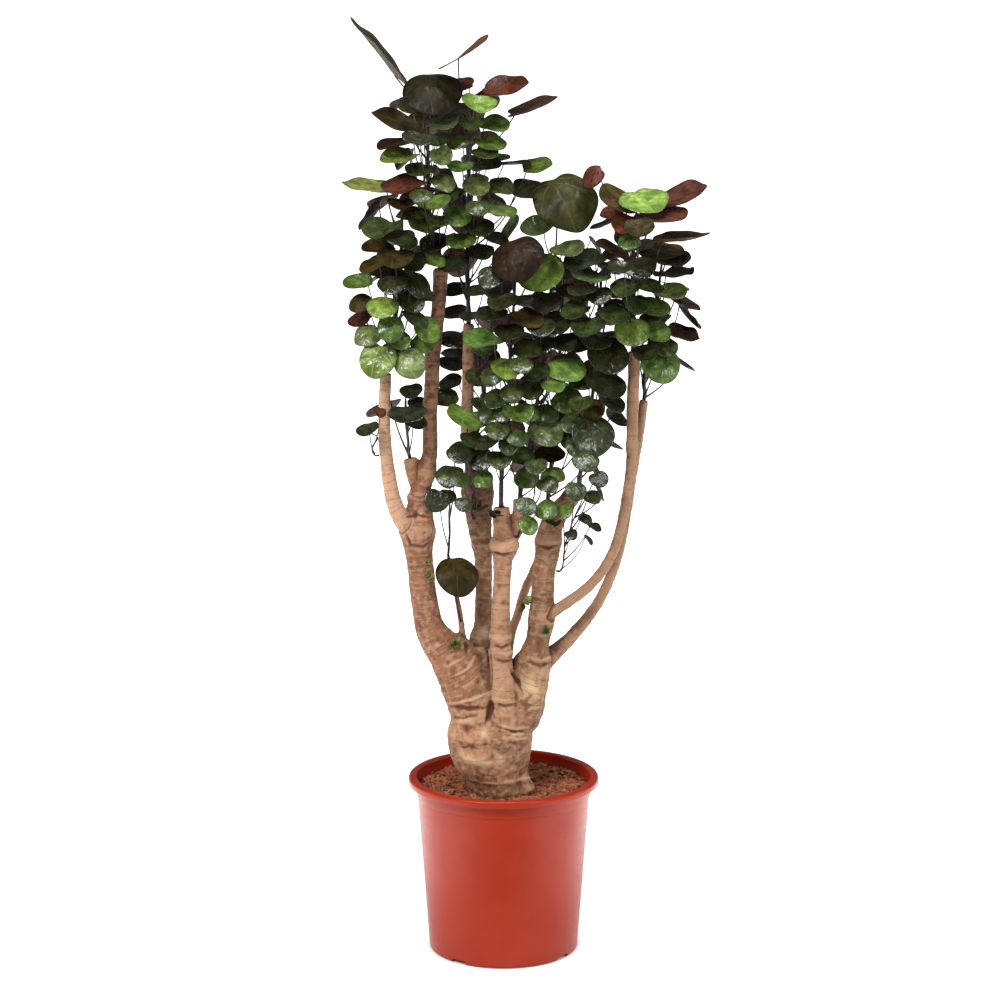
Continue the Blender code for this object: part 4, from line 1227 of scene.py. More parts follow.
@dataclass(frozen=True)
class LeafSkin:
    """Blade finish on the leaf's own plan: veins from the stalk, quilting between them."""

    name: str
    tone: str
    vein_share: float
    quilt_depth: float
    gloss: tuple[float, float]
    raised: float
    shine: float

    def veins(self, look: Look, plan: bpy.types.NodeSocket) -> bpy.types.NodeSocket:
        """Main veins that fan out from the stalk's end.

        Args:
            look: the material being made.
            plan: the leaf's own plan, tip along x, in half widths.

        Returns:
            1 on a vein and 0 away from it.
        """
        parts = look.parts(plan)
        along = look.plus(parts[0], 2.0 * BLADE_ROOT)
        turn = look.math("ARCTAN2", parts[1], along)
        square = look.plus(look.math("POWER", along, 2.0), look.math("POWER", parts[1], 2.0))
        wave = look.math("ABSOLUTE", look.math("SINE", look.times(turn, 4.2)))
        off = look.times(wave, look.times(look.math("SQRT", square), 0.24))
        return look.spread(off, 0.05, 0.0)

    def material(self) -> bpy.types.Material:
        """Make the finish."""
        look = Look(self.name)
        plan = look.attribute("leaf_place", "Vector")
        tone = look.attribute(self.tone, "Color")
        reach = look.length(look.stretched(plan, (1.0, 1.0, 0.0)))
        size = look.attribute("leaf_size", "Fac")
        vein = self.veins(look, look.shifted(plan, 1.5, 0.3))
        edge = look.cells(look.shifted(plan, 2.0, 0.4), 2.5, "DISTANCE_TO_EDGE")
        cell = look.spread(edge, 0.0, 0.5)
        blotch = look.noise(plan, 1.7, 1.0)
        fine = look.noise(plan, 9.0, 3.0, 0.6)
        shade = look.mix(1.0, tone, screen(158, 158, 146), "MULTIPLY")
        light = look.mix(1.0, tone, (1.8, 1.65, 1.5, 1.0), "MULTIPLY")
        colour = look.mix(look.spread(blotch, 0.38, 0.62, 0.0, 0.7), tone, shade)
        centre = look.times(look.spread(reach, 0.95, 0.1), look.spread(blotch, 0.62, 0.4))
        colour = look.mix(look.times(centre, 0.42), colour, light)
        colour = look.mix(look.spread(reach, 0.86, 1.04, 0.0, 0.55), colour, shade)
        colour = look.mix(look.spread(cell, 0.4, 0.0, 0.0, 0.35), colour, shade)
        colour = look.mix(look.times(vein, self.vein_share), colour, light)
        height = look.plus(look.times(cell, 0.7), look.times(vein, self.raised))
        height = look.plus(height, look.times(blotch, 1.2))
        height = look.times(height, size)
        low, high = self.gloss
        look.surface(
            colour, look.spread(fine, 0.35, 0.65, low, high),
            look.bump(height, self.quilt_depth, 0.9), self.shine,
        )
        return look.material


@dataclass(frozen=True)
class StalkSkin:
    """Dark purple skin of young stems and leaf stalks, browner in patches."""

    name: str = "stalk_skin"
    dark: Colour = screen(34, 22, 26)
    light: Colour = screen(84, 58, 48)

    def material(self) -> bpy.types.Material:
        """Make the finish."""
        look = Look(self.name)
        place = look.place()
        cloud = look.noise(place, 55.0, 3.0)
        fine = look.noise(look.stretched(place, (1.0, 1.0, 0.5)), 700.0, 4.0, 0.6)
        colour = look.mix(look.spread(cloud, 0.45, 0.75, 0.0, 0.75), self.dark, self.light)
        colour = look.mix(look.spread(fine, 0.58, 0.75, 0.0, 0.5), colour, self.light)
        look.surface(colour, look.spread(fine, 0.3, 0.7, 0.38, 0.6), look.bump(fine, 0.35, 0.6), 0.4)
        return look.material


@dataclass(frozen=True)
class PaleGround:
    """Pale studio floor with a glow of its own, strongest behind and beside the plant."""

    name: str = "pale_ground"
    near_glow: float = 0.74
    far_glow: float = 0.80
    side_glow: float = 1.6
    front_glow: float = 0.68

    def material(self) -> bpy.types.Material:
        """Make the finish."""
        look = Look(self.name)
        place = look.place()
        shade = look.noise(place, 0.8, 1.0)
        away = look.length(place)
        near = look.spread(away, 0.084, 0.102, 0.0, self.near_glow)
        far = look.spread(away, 0.4, 2.4, 0.0, self.far_glow)
        front = look.spread(away, 0.4, 3.4, 0.0, self.front_glow)
        parts = look.parts(place)
        aside = look.math("ABSOLUTE", parts[0])
        slope = look.math("DIVIDE", parts[1], look.plus(aside, 0.3))
        behind = look.spread(slope, -1.1, -0.38)
        beside = look.spread(aside, 0.18, 0.4, 0.0, self.side_glow)
        beside = look.times(beside, look.spread(aside, 1.3, 0.8))
        beside = look.times(beside, look.spread(parts[1], 0.9, 0.4))
        colour = look.ramp(shade, ((0.0, screen(186, 186, 186)), (1.0, screen(190, 190, 190))))
        look.surface(colour, 0.9, look.bump(shade, 0.1, 0.1), 0.1)
        look.shader.inputs["Emission Color"].default_value = (1.0, 1.0, 1.0, 1.0)
        glow = look.times(behind, look.plus(beside, look.plus(near, far)))
        look.feed(look.shader.inputs["Emission Strength"], look.math("MAXIMUM", glow, front))
        return look.material


def new_piece(
    name: str, mesh: bpy.types.Mesh, materials: Iterable[bpy.types.Material] = ()
) -> bpy.types.Object:
    """Put a mesh in the scene.

    Args:
        name: the piece's name.
        mesh: its mesh, in metres, in place.
        materials: its finishes, in slot order.

    Returns:
        The object, at the origin.
    """
    mesh.name = name
    for material in materials:
        mesh.materials.append(material)
    mesh.shade_smooth()
    piece = bpy.data.objects.new(name, mesh)
    bpy.context.scene.collection.objects.link(piece)
    return piece


def mesh_of(name: str, bm: bmesh.types.BMesh) -> bpy.types.Mesh:
    """Make a mesh in metres of a bmesh built in millimetres, and free the bmesh."""
    bmesh.ops.scale(bm, vec=(MM, MM, MM), verts=bm.verts)
    mesh = bpy.data.meshes.new(name)
    bm.to_mesh(mesh)
    bm.free()
    return mesh


def finished_mesh(item: bpy.types.Object) -> bpy.types.Mesh:
    """Mesh that an object's modifiers or its curve make."""
    bpy.context.view_layer.update()
    evaluated = item.evaluated_get(bpy.context.evaluated_depsgraph_get())
    return bpy.data.meshes.new_from_object(evaluated)


def settled(piece: bpy.types.Object) -> None:
    """Give a piece the mesh that its modifiers make, and take the modifiers away."""
    mesh = finished_mesh(piece)
    piece.modifiers.clear()
    piece.data = mesh
    mesh.name = piece.name


def tubes(name: str, ways: Iterable[Way], roundness: int, steps: int, smooth: bool = True) -> bpy.types.Mesh:
    """Make closed tubes along ways.

    Args:
        name: name of the mesh.
        ways: for each tube its points and radii in millimetres.
        roundness: how round they are; a tube has 4 + 2 * roundness sides.
        steps: cuts between two points.
        smooth: whether the tubes curve through their points.

    Returns:
        One mesh in metres.
    """
    curve = bpy.data.curves.new(name, "CURVE")
    curve.dimensions = "3D"
    curve.bevel_depth = 1.0
    curve.bevel_resolution = roundness
    curve.resolution_u = steps
    curve.use_fill_caps = True
    for way in ways:
        spline = curve.splines.new("BEZIER")
        spline.bezier_points.add(len(way) - 1)
        kind = "AUTO" if smooth else "VECTOR"
        for knot, (point, radius) in zip(spline.bezier_points, way):
            knot.co = point * MM
            knot.radius = radius * MM
            knot.handle_left_type = kind
            knot.handle_right_type = kind
    carrier = bpy.data.objects.new(name, curve)
    bpy.context.scene.collection.objects.link(carrier)
    mesh = finished_mesh(carrier)
    bpy.data.objects.remove(carrier)
    bm = bmesh.new()
    bm.from_mesh(mesh)
    bmesh.ops.remove_doubles(bm, verts=bm.verts, dist=1e-6)
    bm.to_mesh(mesh)
    bm.free()
    return mesh


def hand_over(piece: bpy.types.Object, slot: str, *nodes: str) -> None:
    """Say what a finished piece rides on, what it is made of and what it stands for.

    Args:
        piece: the finished piece.
        slot: the record's material slot.
        nodes: the solids that it replaces.
    """
    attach(piece, "root")
    if nodes:
        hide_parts(*nodes)
    evaluated = piece.evaluated_get(bpy.context.evaluated_depsgraph_get())
    faces = len(evaluated.data.polygons)
    LOG.info("%s: %d faces, slot %s, stands for %s", piece.name, faces, slot, ", ".join(nodes) or "nothing")


def points_and_normals(mesh: bpy.types.Mesh) -> tuple[np.ndarray, np.ndarray]:
    """A mesh's points in metres, and its normals there."""
    points, outward = np.zeros(len(mesh.vertices) * 3), np.zeros(len(mesh.vertices) * 3)
    mesh.vertices.foreach_get("co", points)
    mesh.vertices.foreach_get("normal", outward)
    return points.reshape(-1, 3), outward.reshape(-1, 3)


def wave_noise(points: np.ndarray, size: float, seed: float, layers: int = 1) -> np.ndarray:
    """Read soft noise at many points.

    Args:
        points: places in millimetres.
        size: size of its lumps in millimetres.
        seed: shift that gives another pattern.
        layers: how many finer layers are added, each half as strong.

    Returns:
        Numbers about 0, mostly within 1.
    """
    total = np.zeros(len(points))
    strength = 1.0
    for layer in range(layers):
        scaled = points * (2.0 ** layer / size) + seed + 17.0 * layer
        total += strength * np.array([noise.noise(Vector(point)) for point in scaled])
        strength *= 0.5
    return total


@dataclass
class Pot:
    """Nursery pot with a rolled rim, a shallow ring, a notched foot and drain holes."""

    height: float = 225.0
    rim_radius: float = 120.0
    rim_drop: float = 9.0
    rim_round: float = 3.2
    lip_radius: float = 111.0
    ring_height: float = 199.5
    ring_step: float = 1.1
    base_radius: float = 94.0
    wall: float = 1.6
    floor_bottom: float = 6.0
    floor_top: float = 8.4
    foot_width: float = 7.0
    pad_radius: float = 20.0
    steps: int = 144
    notch_size: tuple[float, float, float] = (21.0, 24.0, 5.0)
    notch_turns: tuple[float, ...] = (-127.0, -37.5, 52.5, 142.5)
    drain_count: int = 6
    drain_circle: float = 58.0
    drain_radius: float = 5.0
    drain_sides: int = 28
    cutter_depth: float = 20.0
    notch_inset: float = 3.0
    sharp_from: float = 38.0
    finish: TerracottaPlastic = field(default_factory=TerracottaPlastic)

    def wall_radius(self, height: float) -> float:
        """Outer radius of the wall at a height, above or below its shallow ring."""
        slope = (self.lip_radius - self.ring_step - self.base_radius) / self.height
        step = self.ring_step if height > self.ring_height else 0.0
        return self.base_radius + slope * height + step

    def inner_radius(self, height: float) -> float:
        """Inner radius of the wall at a height."""
        return self.wall_radius(height) - self.wall

    @staticmethod
    def arc(reach: float, height: float, radius: float, start: float, end: float, steps: int) -> list:
        """Points of an arc in the profile.

        Args:
            reach, height: the arc's centre.
            radius: its radius.
            start, end: its angles in degrees, 0 outwards and 90 up.
            steps: how many chords it has.

        Returns:
            The points from start to end.
        """
        points = []
        for i in range(steps + 1):
            angle = math.radians(start + (end - start) * i / steps)
            points.append((reach + radius * math.cos(angle), height + radius * math.sin(angle)))
        return points

    def profile(self) -> list[tuple[float, float]]:
        """Go from the axis up the inside, over the rim and down the outside to the axis."""
        top, edge, turn, ring = self.height, self.rim_radius, self.rim_round, self.ring_height
        low, foot, lip = top - self.rim_drop, self.base_radius - self.foot_width, self.wall_radius(top)
        wall, inner = self.wall_radius, self.inner_radius
        inside = [
            (0.0, self.floor_top), (40.0, self.floor_top), (foot, self.floor_top),
            (inner(11.0) - 1.0, 10.4), (inner(16.0), 16.0), (inner(100.0), 100.0),
            (inner(ring - 1.0), ring - 1.0), (inner(ring + 1.0), ring + 1.0), (inner(top), top - 4.0),
        ]
        over = self.arc(inner(top) + 2.2, top - 2.2, 2.2, 180.0, 90.0, 4)
        outer = self.arc(edge - turn, top - turn, turn, 90.0, 0.0, 7)
        under = self.arc(edge - 1.1, low + 1.1, 1.1, 0.0, -90.0, 3)
        skirt = [(edge - 2.2, low + 0.4), (edge - 2.5, top - 3.4), (lip + 1.2, top - 3.4)]
        outside = [
            (lip, top - 5.0), (wall(ring + 6.0), ring + 6.0), (wall(ring + 0.9), ring + 0.9),
            (wall(ring + 0.5) - 0.15, ring + 0.35), (wall(ring - 0.4), ring - 0.25),
            (wall(ring - 1.2), ring - 1.2), (wall(ring - 6.0), ring - 6.0), (wall(100.0), 100.0),
            (wall(9.0), 9.0), (wall(4.0), 4.0), (wall(2.0) - 0.3, 1.6),
            (self.base_radius - 1.2, 0.4), (self.base_radius - 2.4, 0.0),
        ]
        bottom = [
            (foot + 0.6, 0.0), (foot, 0.6), (foot - 1.0, self.floor_bottom),
            (self.pad_radius + 2.0, self.floor_bottom), (self.pad_radius + 0.6, 0.6), (self.pad_radius, 0.0),
            (0.0, 0.0),
        ]
        return inside + over + outer + under + skirt + outside + bottom

    def shell(self) -> bmesh.types.BMesh:
        """Spin the profile about the axis."""
        bm = bmesh.new()
        corners = [bm.verts.new((reach, 0.0, height)) for reach, height in self.profile()]
        edges = [bm.edges.new(pair) for pair in zip(corners, corners[1:])]
        bmesh.ops.spin(
            bm, geom=corners + edges, cent=(0.0, 0.0, 0.0), axis=(0.0, 0.0, 1.0), angle=2.0 * math.pi,
            steps=self.steps, use_merge=True, use_duplicate=False,
        )
        bmesh.ops.remove_doubles(bm, verts=bm.verts, dist=1e-3)
        bmesh.ops.recalc_face_normals(bm, faces=bm.faces)
        return bm

    def cutters(self) -> bmesh.types.BMesh:
        """Blocks for the foot's notches and rods for the drain holes."""
        bm = bmesh.new()
        width, depth, tall = self.notch_size
        for turn in self.notch_turns:
            made = bmesh.ops.create_cube(bm, size=1.0)
            bmesh.ops.scale(bm, vec=(depth, width, 2.0 * tall), verts=made["verts"])
            reach = self.base_radius - self.notch_inset
            bmesh.ops.translate(bm, vec=(reach, 0.0, 0.0), verts=made["verts"])
            bmesh.ops.rotate(bm, matrix=Matrix.Rotation(math.radians(turn), 3, "Z"), verts=made["verts"])
        for i in range(self.drain_count):
            angle = math.radians(360.0 * (i + 0.5) / self.drain_count)
            made = bmesh.ops.create_cone(
                bm, cap_ends=True, segments=self.drain_sides, radius1=self.drain_radius,
                radius2=self.drain_radius, depth=self.cutter_depth,
            )
            place = (self.drain_circle * math.cos(angle), self.drain_circle * math.sin(angle), self.floor_top)
            bmesh.ops.translate(bm, vec=place, verts=made["verts"])
        return bm

    def build(self) -> bpy.types.Object:
        """Make, cut and dress the pot."""
        piece = new_piece("nursery_pot", mesh_of("nursery_pot", self.shell()), [self.finish.material()])
        cutter = new_piece("pot_cutter", mesh_of("pot_cutter", self.cutters()))
        cut = piece.modifiers.new("cut", "BOOLEAN")
        cut.operation = "DIFFERENCE"
        cut.solver = "EXACT"
        cut.object = cutter
        settled(piece)
        bpy.data.objects.remove(cutter)
        piece.data.set_sharp_from_angle(angle=math.radians(self.sharp_from))
        hand_over(piece, "pot", "pot")
        return piece


@dataclass
class Soil:
    """Coarse peat in the pot, with crumbs and coir fibres on it."""

    pot: Pot
    top: float = 212.0
    clear: float = 1.9
    cells: int = 150
    wave: float = 1.6
    lump: float = 2.6
    crumb_count: int = 760
    crumb_sizes: tuple[float, ...] = (1.2, 1.5, 1.9, 2.4, 3.2)
    crumb_seed: int = 3
    fibre_count: int = 380
    fibre_seed: int = 5
    trunk_x: float = -4.0
    trunk_reach: float = 41.0
    crumb_tones: tuple[Colour, ...] = (
        screen(156, 88, 60), screen(122, 68, 48), screen(74, 44, 34), screen(184, 122, 86),
        screen(172, 90, 60),
    )
    fibre_tones: tuple[Colour, ...] = (screen(206, 150, 108), screen(170, 108, 76), screen(124, 74, 54))

    @property
    def brim(self) -> float:
        """Radius of the peat's top."""
        return self.pot.wall_radius(self.top) - self.clear

    def surface_height(self, x: float, y: float) -> float:
        """Height of the peat's top at a place.

        Args:
            x, y: the place in millimetres.

        Returns:
            The height in millimetres.
        """
        reach = math.hypot(x, y)
        place = Vector((x, y, 0.0))
        swell = self.wave * math.sin(0.09 * x) * math.cos(0.11 * y)
        lumps = self.lump * noise.noise(place / 16.0)
        lumps += 0.6 * self.lump * noise.noise(place / 6.5 + Vector((9, 4, 2)))
        fine = 0.35 * self.lump * noise.noise(place / 2.6 + Vector((3, 8, 5)))
        fall = -5.0 * max(0.0, (reach - self.brim + 9.0) / 9.0) ** 2
        return self.top + swell + lumps + fine + fall

    def body(self) -> bpy.types.Object:
        """Make the block of peat, closed below."""
        bm = bmesh.new()
        brim = self.brim
        bmesh.ops.create_grid(bm, x_segments=self.cells, y_segments=self.cells, size=1.0)
        for vert in bm.verts:
            x, y = vert.co.x, vert.co.y
            vert.co.x = brim * x * math.sqrt(1.0 - 0.5 * y * y)
            vert.co.y = brim * y * math.sqrt(1.0 - 0.5 * x * x)
            vert.co.z = self.surface_height(vert.co.x, vert.co.y)
        edges = [edge for edge in bm.edges if edge.is_boundary]
        for height in (196.0, 15.0, self.pot.floor_top + 0.3):
            reach = self.pot.wall_radius(height) - self.clear - (6.0 if height < 14.0 else 0.0)
            raised = bmesh.ops.extrude_edge_only(bm, edges=edges)
            corners = [item for item in raised["geom"] if isinstance(item, bmesh.types.BMVert)]
            for corner in corners:
                share = reach / math.hypot(corner.co.x, corner.co.y)
                corner.co = Vector((corner.co.x * share, corner.co.y * share, height))
            edges = [
                item for item in raised["geom"]
                if isinstance(item, bmesh.types.BMEdge) and all(vert in corners for vert in item.verts)
            ]
        bmesh.ops.contextual_create(bm, geom=edges)
        bmesh.ops.recalc_face_normals(bm, faces=bm.faces)
        return new_piece("peat", mesh_of("peat", bm), [Peat().material()])

    def spot(self, draw: random.Random) -> tuple[float, float]:
        """Draw a place on the peat clear of the trunk."""
        while True:
            reach = (self.brim - 3.0) * math.sqrt(draw.random())
            angle = draw.uniform(0.0, 2.0 * math.pi)
            x, y = reach * math.cos(angle), reach * math.sin(angle)
            if math.hypot(x - self.trunk_x, y - PLANT_DEPTH) > self.trunk_reach:
                return x, y

    def crumbs(self, finish: bpy.types.Material) -> bpy.types.Object:
        """Scatter crumbs, each an uneven small lump."""
        draw = random.Random(self.crumb_seed)
        bm = bmesh.new()
        tone = bm.verts.layers.float_color.new("bit_tone")
        for _ in range(self.crumb_count):
            made = bmesh.ops.create_icosphere(bm, subdivisions=1, radius=1.0)
            x, y = self.spot(draw)
            size = draw.choice(self.crumb_sizes)
            colour = draw.choice(self.crumb_tones)
            turn = Matrix.Rotation(draw.uniform(0.0, 6.28), 4, Vector((draw.random(), draw.random(), 1.0)))
            form = Matrix.Diagonal((size * draw.uniform(0.8, 1.5), size, size * draw.uniform(0.45, 0.8), 1.0))
            place = Matrix.Translation((x, y, self.surface_height(x, y) + 0.25 * size))
            for vert in made["verts"]:
                vert.co *= draw.uniform(0.75, 1.2)
                vert[tone] = colour
            bmesh.ops.transform(bm, matrix=place @ turn @ form, verts=made["verts"])
        return new_piece("peat_crumbs", mesh_of("peat_crumbs", bm), [finish])

    def fibres(self, finish: bpy.types.Material) -> bpy.types.Object:
        """Lay short bent coir fibres on the peat."""
        draw = random.Random(self.fibre_seed)
        ways = []
        for _ in range(self.fibre_count):
            x, y = self.spot(draw)
            turn = draw.uniform(0.0, 6.28)
            length = draw.uniform(7.0, 24.0)
            bend = draw.uniform(-0.8, 0.8)
            radius = draw.uniform(0.2, 0.42)
            way = []
            for i in range(4):
                share = i / 3 - 0.5
                angle = turn + bend * share
                px, py = x + length * share * math.cos(angle), y + length * share * math.sin(angle)
                reach = math.hypot(px, py)
                brim = self.brim - 1.5
                px, py = px * min(1.0, brim / reach), py * min(1.0, brim / reach)
                lift = 0.7 + draw.uniform(0.0, 1.6) * (1.0 - 2.0 * abs(share))
                way.append((Vector((px, py, self.surface_height(px, py) + lift)), radius))
            ways.append(way)
        mesh = tubes("coir_fibres", ways, 0, 1)
        piece = new_piece("coir_fibres", mesh, [finish])
        tone = mesh.attributes.new("bit_tone", "FLOAT_COLOR", "POINT")
        each = max(1, len(mesh.vertices) // self.fibre_count)
        colours = [draw.choice(self.fibre_tones) for _ in range(self.fibre_count + 1)]
        for i, item in enumerate(tone.data):
            item.color = colours[min(i // each, self.fibre_count)]
        return piece

    def build(self) -> list[bpy.types.Object]:
        """Make the peat and what lies on it."""
        body = self.body()
        hand_over(body, "soil", "soil")
        finish = PeatBits().material()
        pieces = [self.crumbs(finish), self.fibres(finish)]
        for piece in pieces:
            hand_over(piece, "soil")
        return [body] + pieces


@dataclass(frozen=True)
class Mark:
    """A place on the front of the trunk: a push out or in, and a tint painted over it."""

    x: float
    z: float
    wide: float
    tall: float
    push: float
    tint: Optional[Colour] = None
    strength: float = 0.0

    def share(self, x: np.ndarray, z: np.ndarray) -> np.ndarray:
        """How strongly the mark lies on each point of the front view."""
        return np.exp(-((x - self.x) / self.wide) ** 2 - ((z - self.z) / self.tall) ** 2)


@dataclass(frozen=True)
class Seam:
    """A groove or fold on the front of the trunk, along points of the front view."""

    points: tuple[tuple[float, float], ...]
    wide: float
    push: float
    tint: Optional[Colour] = None
    strength: float = 0.0

    def share(self, x: np.ndarray, z: np.ndarray) -> np.ndarray:
        """How strongly the seam lies on each point of the front view, less at its ends."""
        best = np.zeros(len(x))
        last = len(self.points) - 1
        for i, ((x0, z0), (x1, z1)) in enumerate(zip(self.points, self.points[1:])):
            dx, dz = x1 - x0, z1 - z0
            share = np.clip(((x - x0) * dx + (z - z0) * dz) / (dx * dx + dz * dz), 0.0, 1.0)
            off = np.hypot(x - x0 - share * dx, z - z0 - share * dz)
            place = (i + share) / last
            fade = np.clip(4.0 * np.minimum(place, 1.0 - place), 0.25, 1.0)
            best = np.maximum(best, fade * np.exp(-(off / (self.wide * (0.6 + 0.4 * fade))) ** 2))
        return best


# Tints of the marks on the trunk. The seams put CLEFT and CREASE on the grooves that they push in, as painted
# shade, and PALE on the ridges that they push out, as painted highlight.
CLEFT = screen(58, 28, 20)
CREASE = screen(112, 74, 54)
PALE = screen(232, 200, 160)
RUSSET = screen(140, 62, 40)
MOSS = screen(84, 92, 40)


@dataclass
class Trunk:
    """Trunk and woody branches, grown into one skin with rings, knots and scars."""

    voxel: float = 1.95
    stub_radius: float = 38.0
    stub_x: float = -4.0
    stub_bottom: float = 110.3
    smoothing: int = 4
    sections: tuple = (
        (-4, 214.5, 38, 38), (-4, 217, 41.0, 40), (-8, 230, 40.5, 40), (-11, 235, 42, 41.5),
        (-14, 243, 46.5, 44), (-17, 257, 50, 46), (-17.5, 275, 52, 47.5), (-17.5, 291, 53, 48),
        (-16, 305, 51.5, 44), (-14, 320, 44, 34), (-14, 332, 30, 22),
    )
    fuller: dict = field(default_factory=lambda: {
        "left": ((-24, 300, 0, 42), (-44, 345, -2, 36), (-66, 380, -6, 29)),
        "front": (
            (0, 296, -20, 24), (-1, 318, -26, 19), (-2, 340, -28, 16.5), (-3, 362, -27, 15),
            (-4, 384, -24, 14.5), (-4, 400, -23, 12.8),
        ),
        "right": ((10, 300, -2, 36), (23, 332, -7, 31), (34, 362, -9, 24.5), (39, 385, -9, 17.5)),
    })
    roots: tuple = (
        ((20, 228, -18, 9), (26, 214, -20, 10), (33, 202, -23, 9)),
        ((-20, 310, -6, 30), (-24, 340, -8, 23), (-28, 368, -6, 15), (-31, 390, 0, 8)),
        ((-20, 226, 24, 9), (-26, 213, 30, 7), (-30, 204, 34, 5)),
        ((18, 226, 24, 9), (26, 213, 30, 7), (32, 204, 34, 5)),
    )
    swellings: tuple = (
        ("front", 521, 9, 1.8), ("front_fork", 534, 9, 1.2), ("left", 540, 13, 1.6), ("left", 583, 5, 2.0),
        ("left", 612, 10, 2.0), ("middle", 592, 14, 2.2), ("middle", 520, 4, 1.0), ("right", 528, 8, 2.4),
        ("right", 430, 15, 2.4), ("right", 376, 9, 2.0), ("front", 404, 7, 1.8), ("front", 385, 5, 1.6),
        ("left", 700, 6, 0.8), ("left", 770, 8, 0.8), ("middle", 665, 6, 0.8), ("right_thin", 650, 7, 0.8),
    )
    twig: tuple = (
        (-50, 392, 2, 6), (-52, 412, 6, 4.2), (-54, 430, 10, 3.9), (-60, 462, 18, 3.7), (-66, 494, 24, 3.5),
        (-69, 508, 26, 3.3),
    )
    scar_seed: int = 23
    scar_gap: tuple[float, float] = (5.0, 19.0)
    scar_reach: float = 900.0
    scar_width: float = 1.25
    buried_to: float = 196.0
    free_over: float = 14.0
    # Smoothing steps at which hollows are read, each with the depth that counts in full
    hollow_depths: dict[int, float] = field(default_factory=lambda: {4: 0.45, 24: 1.5})
    place_step: float = 370.0
    ring_height: float = 232.0
    ring_rise: float = 0.035
    collar_tint: Colour = screen(134, 98, 68)
    tints: dict = field(default_factory=lambda: {
        "base": (screen(172, 126, 92), screen(178, 132, 96)),
        "left": (screen(156, 104, 74), screen(102, 54, 33)),
        "left_thin": (screen(212, 164, 132), screen(224, 180, 150)),
        "left_stub": (screen(170, 116, 86), screen(158, 104, 76)),
        "middle": (screen(136, 98, 70), screen(92, 48, 32)),
        "front": (screen(188, 141, 108), screen(176, 126, 94)),
        "front_fork": (screen(168, 116, 84), screen(150, 100, 72)),
        "right": (screen(138, 98, 68), screen(136, 94, 66)),
        "right_thin": (screen(124, 84, 60), screen(138, 98, 76)),
        "right_low": (screen(134, 94, 70), screen(146, 106, 82)),
        "back": (screen(170, 122, 86), screen(152, 104, 72)),
        "twig": (screen(164, 112, 84), screen(124, 80, 60)),
    })
    # Grooves here carry painted shade and ridges carry painted highlight, by their tints.
    seams: tuple = (
        Seam(((-70, 315), (-45, 311), (-19, 312)), 3.0, -3.4, CREASE, 0.7),
        Seam(((-17, 326), (-16, 312), (-19, 300), (-23, 292)), 3.0, -6.0, CLEFT, 0.95),
        Seam(((-17, 400), (-17.5, 362), (-16, 328)), 2.4, -2.5, CREASE, 0.4),
        Seam(((9, 362), (15, 351), (25, 330)), 1.9, -4.0, CLEFT, 0.95),
        Seam(((17, 352), (21, 341)), 1.7, -2.5, CLEFT, 0.8),
        Seam(((-62, 318), (-40, 323), (-15, 334)), 1.6, 1.4, PALE, 0.9),
        Seam(((-13, 324), (0, 320), (13, 322)), 2.2, 1.8, PALE, 0.6),
        Seam(((-11, 318), (2, 314), (15, 317)), 2.0, -2.4, CREASE, 0.8),
        Seam(((-8, 291), (10, 285), (31, 288)), 1.7, 1.0, PALE, 0.9),
        Seam(((-6, 287), (12, 281), (31, 284)), 1.7, -1.2, CREASE, 0.6),
        Seam(((-2, 283), (14, 277), (31, 280)), 1.7, 0.9, PALE, 0.8),
        Seam(((4, 276), (16, 271), (31, 273)), 1.6, 0.8, PALE, 0.7),
        Seam(((6, 268), (18, 264), (30, 266)), 1.6, -1.2, CREASE, 0.6),
        Seam(((-58, 256), (-42, 245), (-22, 238), (-8, 241)), 5.0, 3.0, PALE, 0.5),
        Seam(((-60, 268), (-48, 262), (-30, 260)), 3.0, -1.8, CREASE, 0.5),
        Seam(((-66, 300), (-52, 298), (-30, 304)), 2.0, -1.4, CREASE, 0.6),
        Seam(((28, 306), (34, 312), (46, 314)), 2.0, 1.2, PALE, 0.7),
        Seam(((-66, 352), (-46, 362), (-34, 380)), 2.0, 1.0, PALE, 0.6),
        Seam(((-72, 366), (-52, 376)), 1.8, 0.9, PALE, 0.6),
        Seam(((30, 372), (46, 366), (58, 372)), 1.8, -1.8, CREASE, 0.8),
        Seam(((32, 378), (46, 373), (60, 380)), 1.8, 1.4, PALE, 0.7),
        Seam(((-14, 404), (-4, 399), (8, 405)), 2.0, 1.8, PALE, 0.8),
        Seam(((-14, 394), (-2, 390), (10, 396)), 2.0, -2.0, CREASE, 0.8),
        Seam(((-10, 386), (4, 381), (12, 387)), 1.9, 1.6, PALE, 0.7),
        Seam(((-12, 376), (0, 372), (12, 374)), 2.2, -1.8, CREASE, 0.7),
        Seam(((-40, 336), (-26, 352), (-28, 368)), 4.0, -1.6, CREASE, 0.35),
        Seam(((-124, 548), (-116, 522), (-100, 519), (-88, 530)), 1.8, -1.8, CREASE, 0.8),
        Seam(((-124, 556), (-108, 560), (-90, 556)), 1.8, -1.6, CREASE, 0.8),
        Seam(((-118, 586), (-104, 582), (-90, 586)), 1.8, -1.6, CREASE, 0.8),
        Seam(((-16, 514), (0, 509), (16, 514)), 2.0, -2.6, CREASE, 0.9),
        Seam(((-15, 528), (0, 525), (18, 530)), 2.4, 1.4, PALE, 0.7),
        Seam(((42, 522), (56, 518), (70, 524)), 2.0, -2.0, CREASE, 0.8),
        Seam(((-46, 572), (-30, 568), (-16, 574)), 2.0, -2.0, CREASE, 0.7),
    )
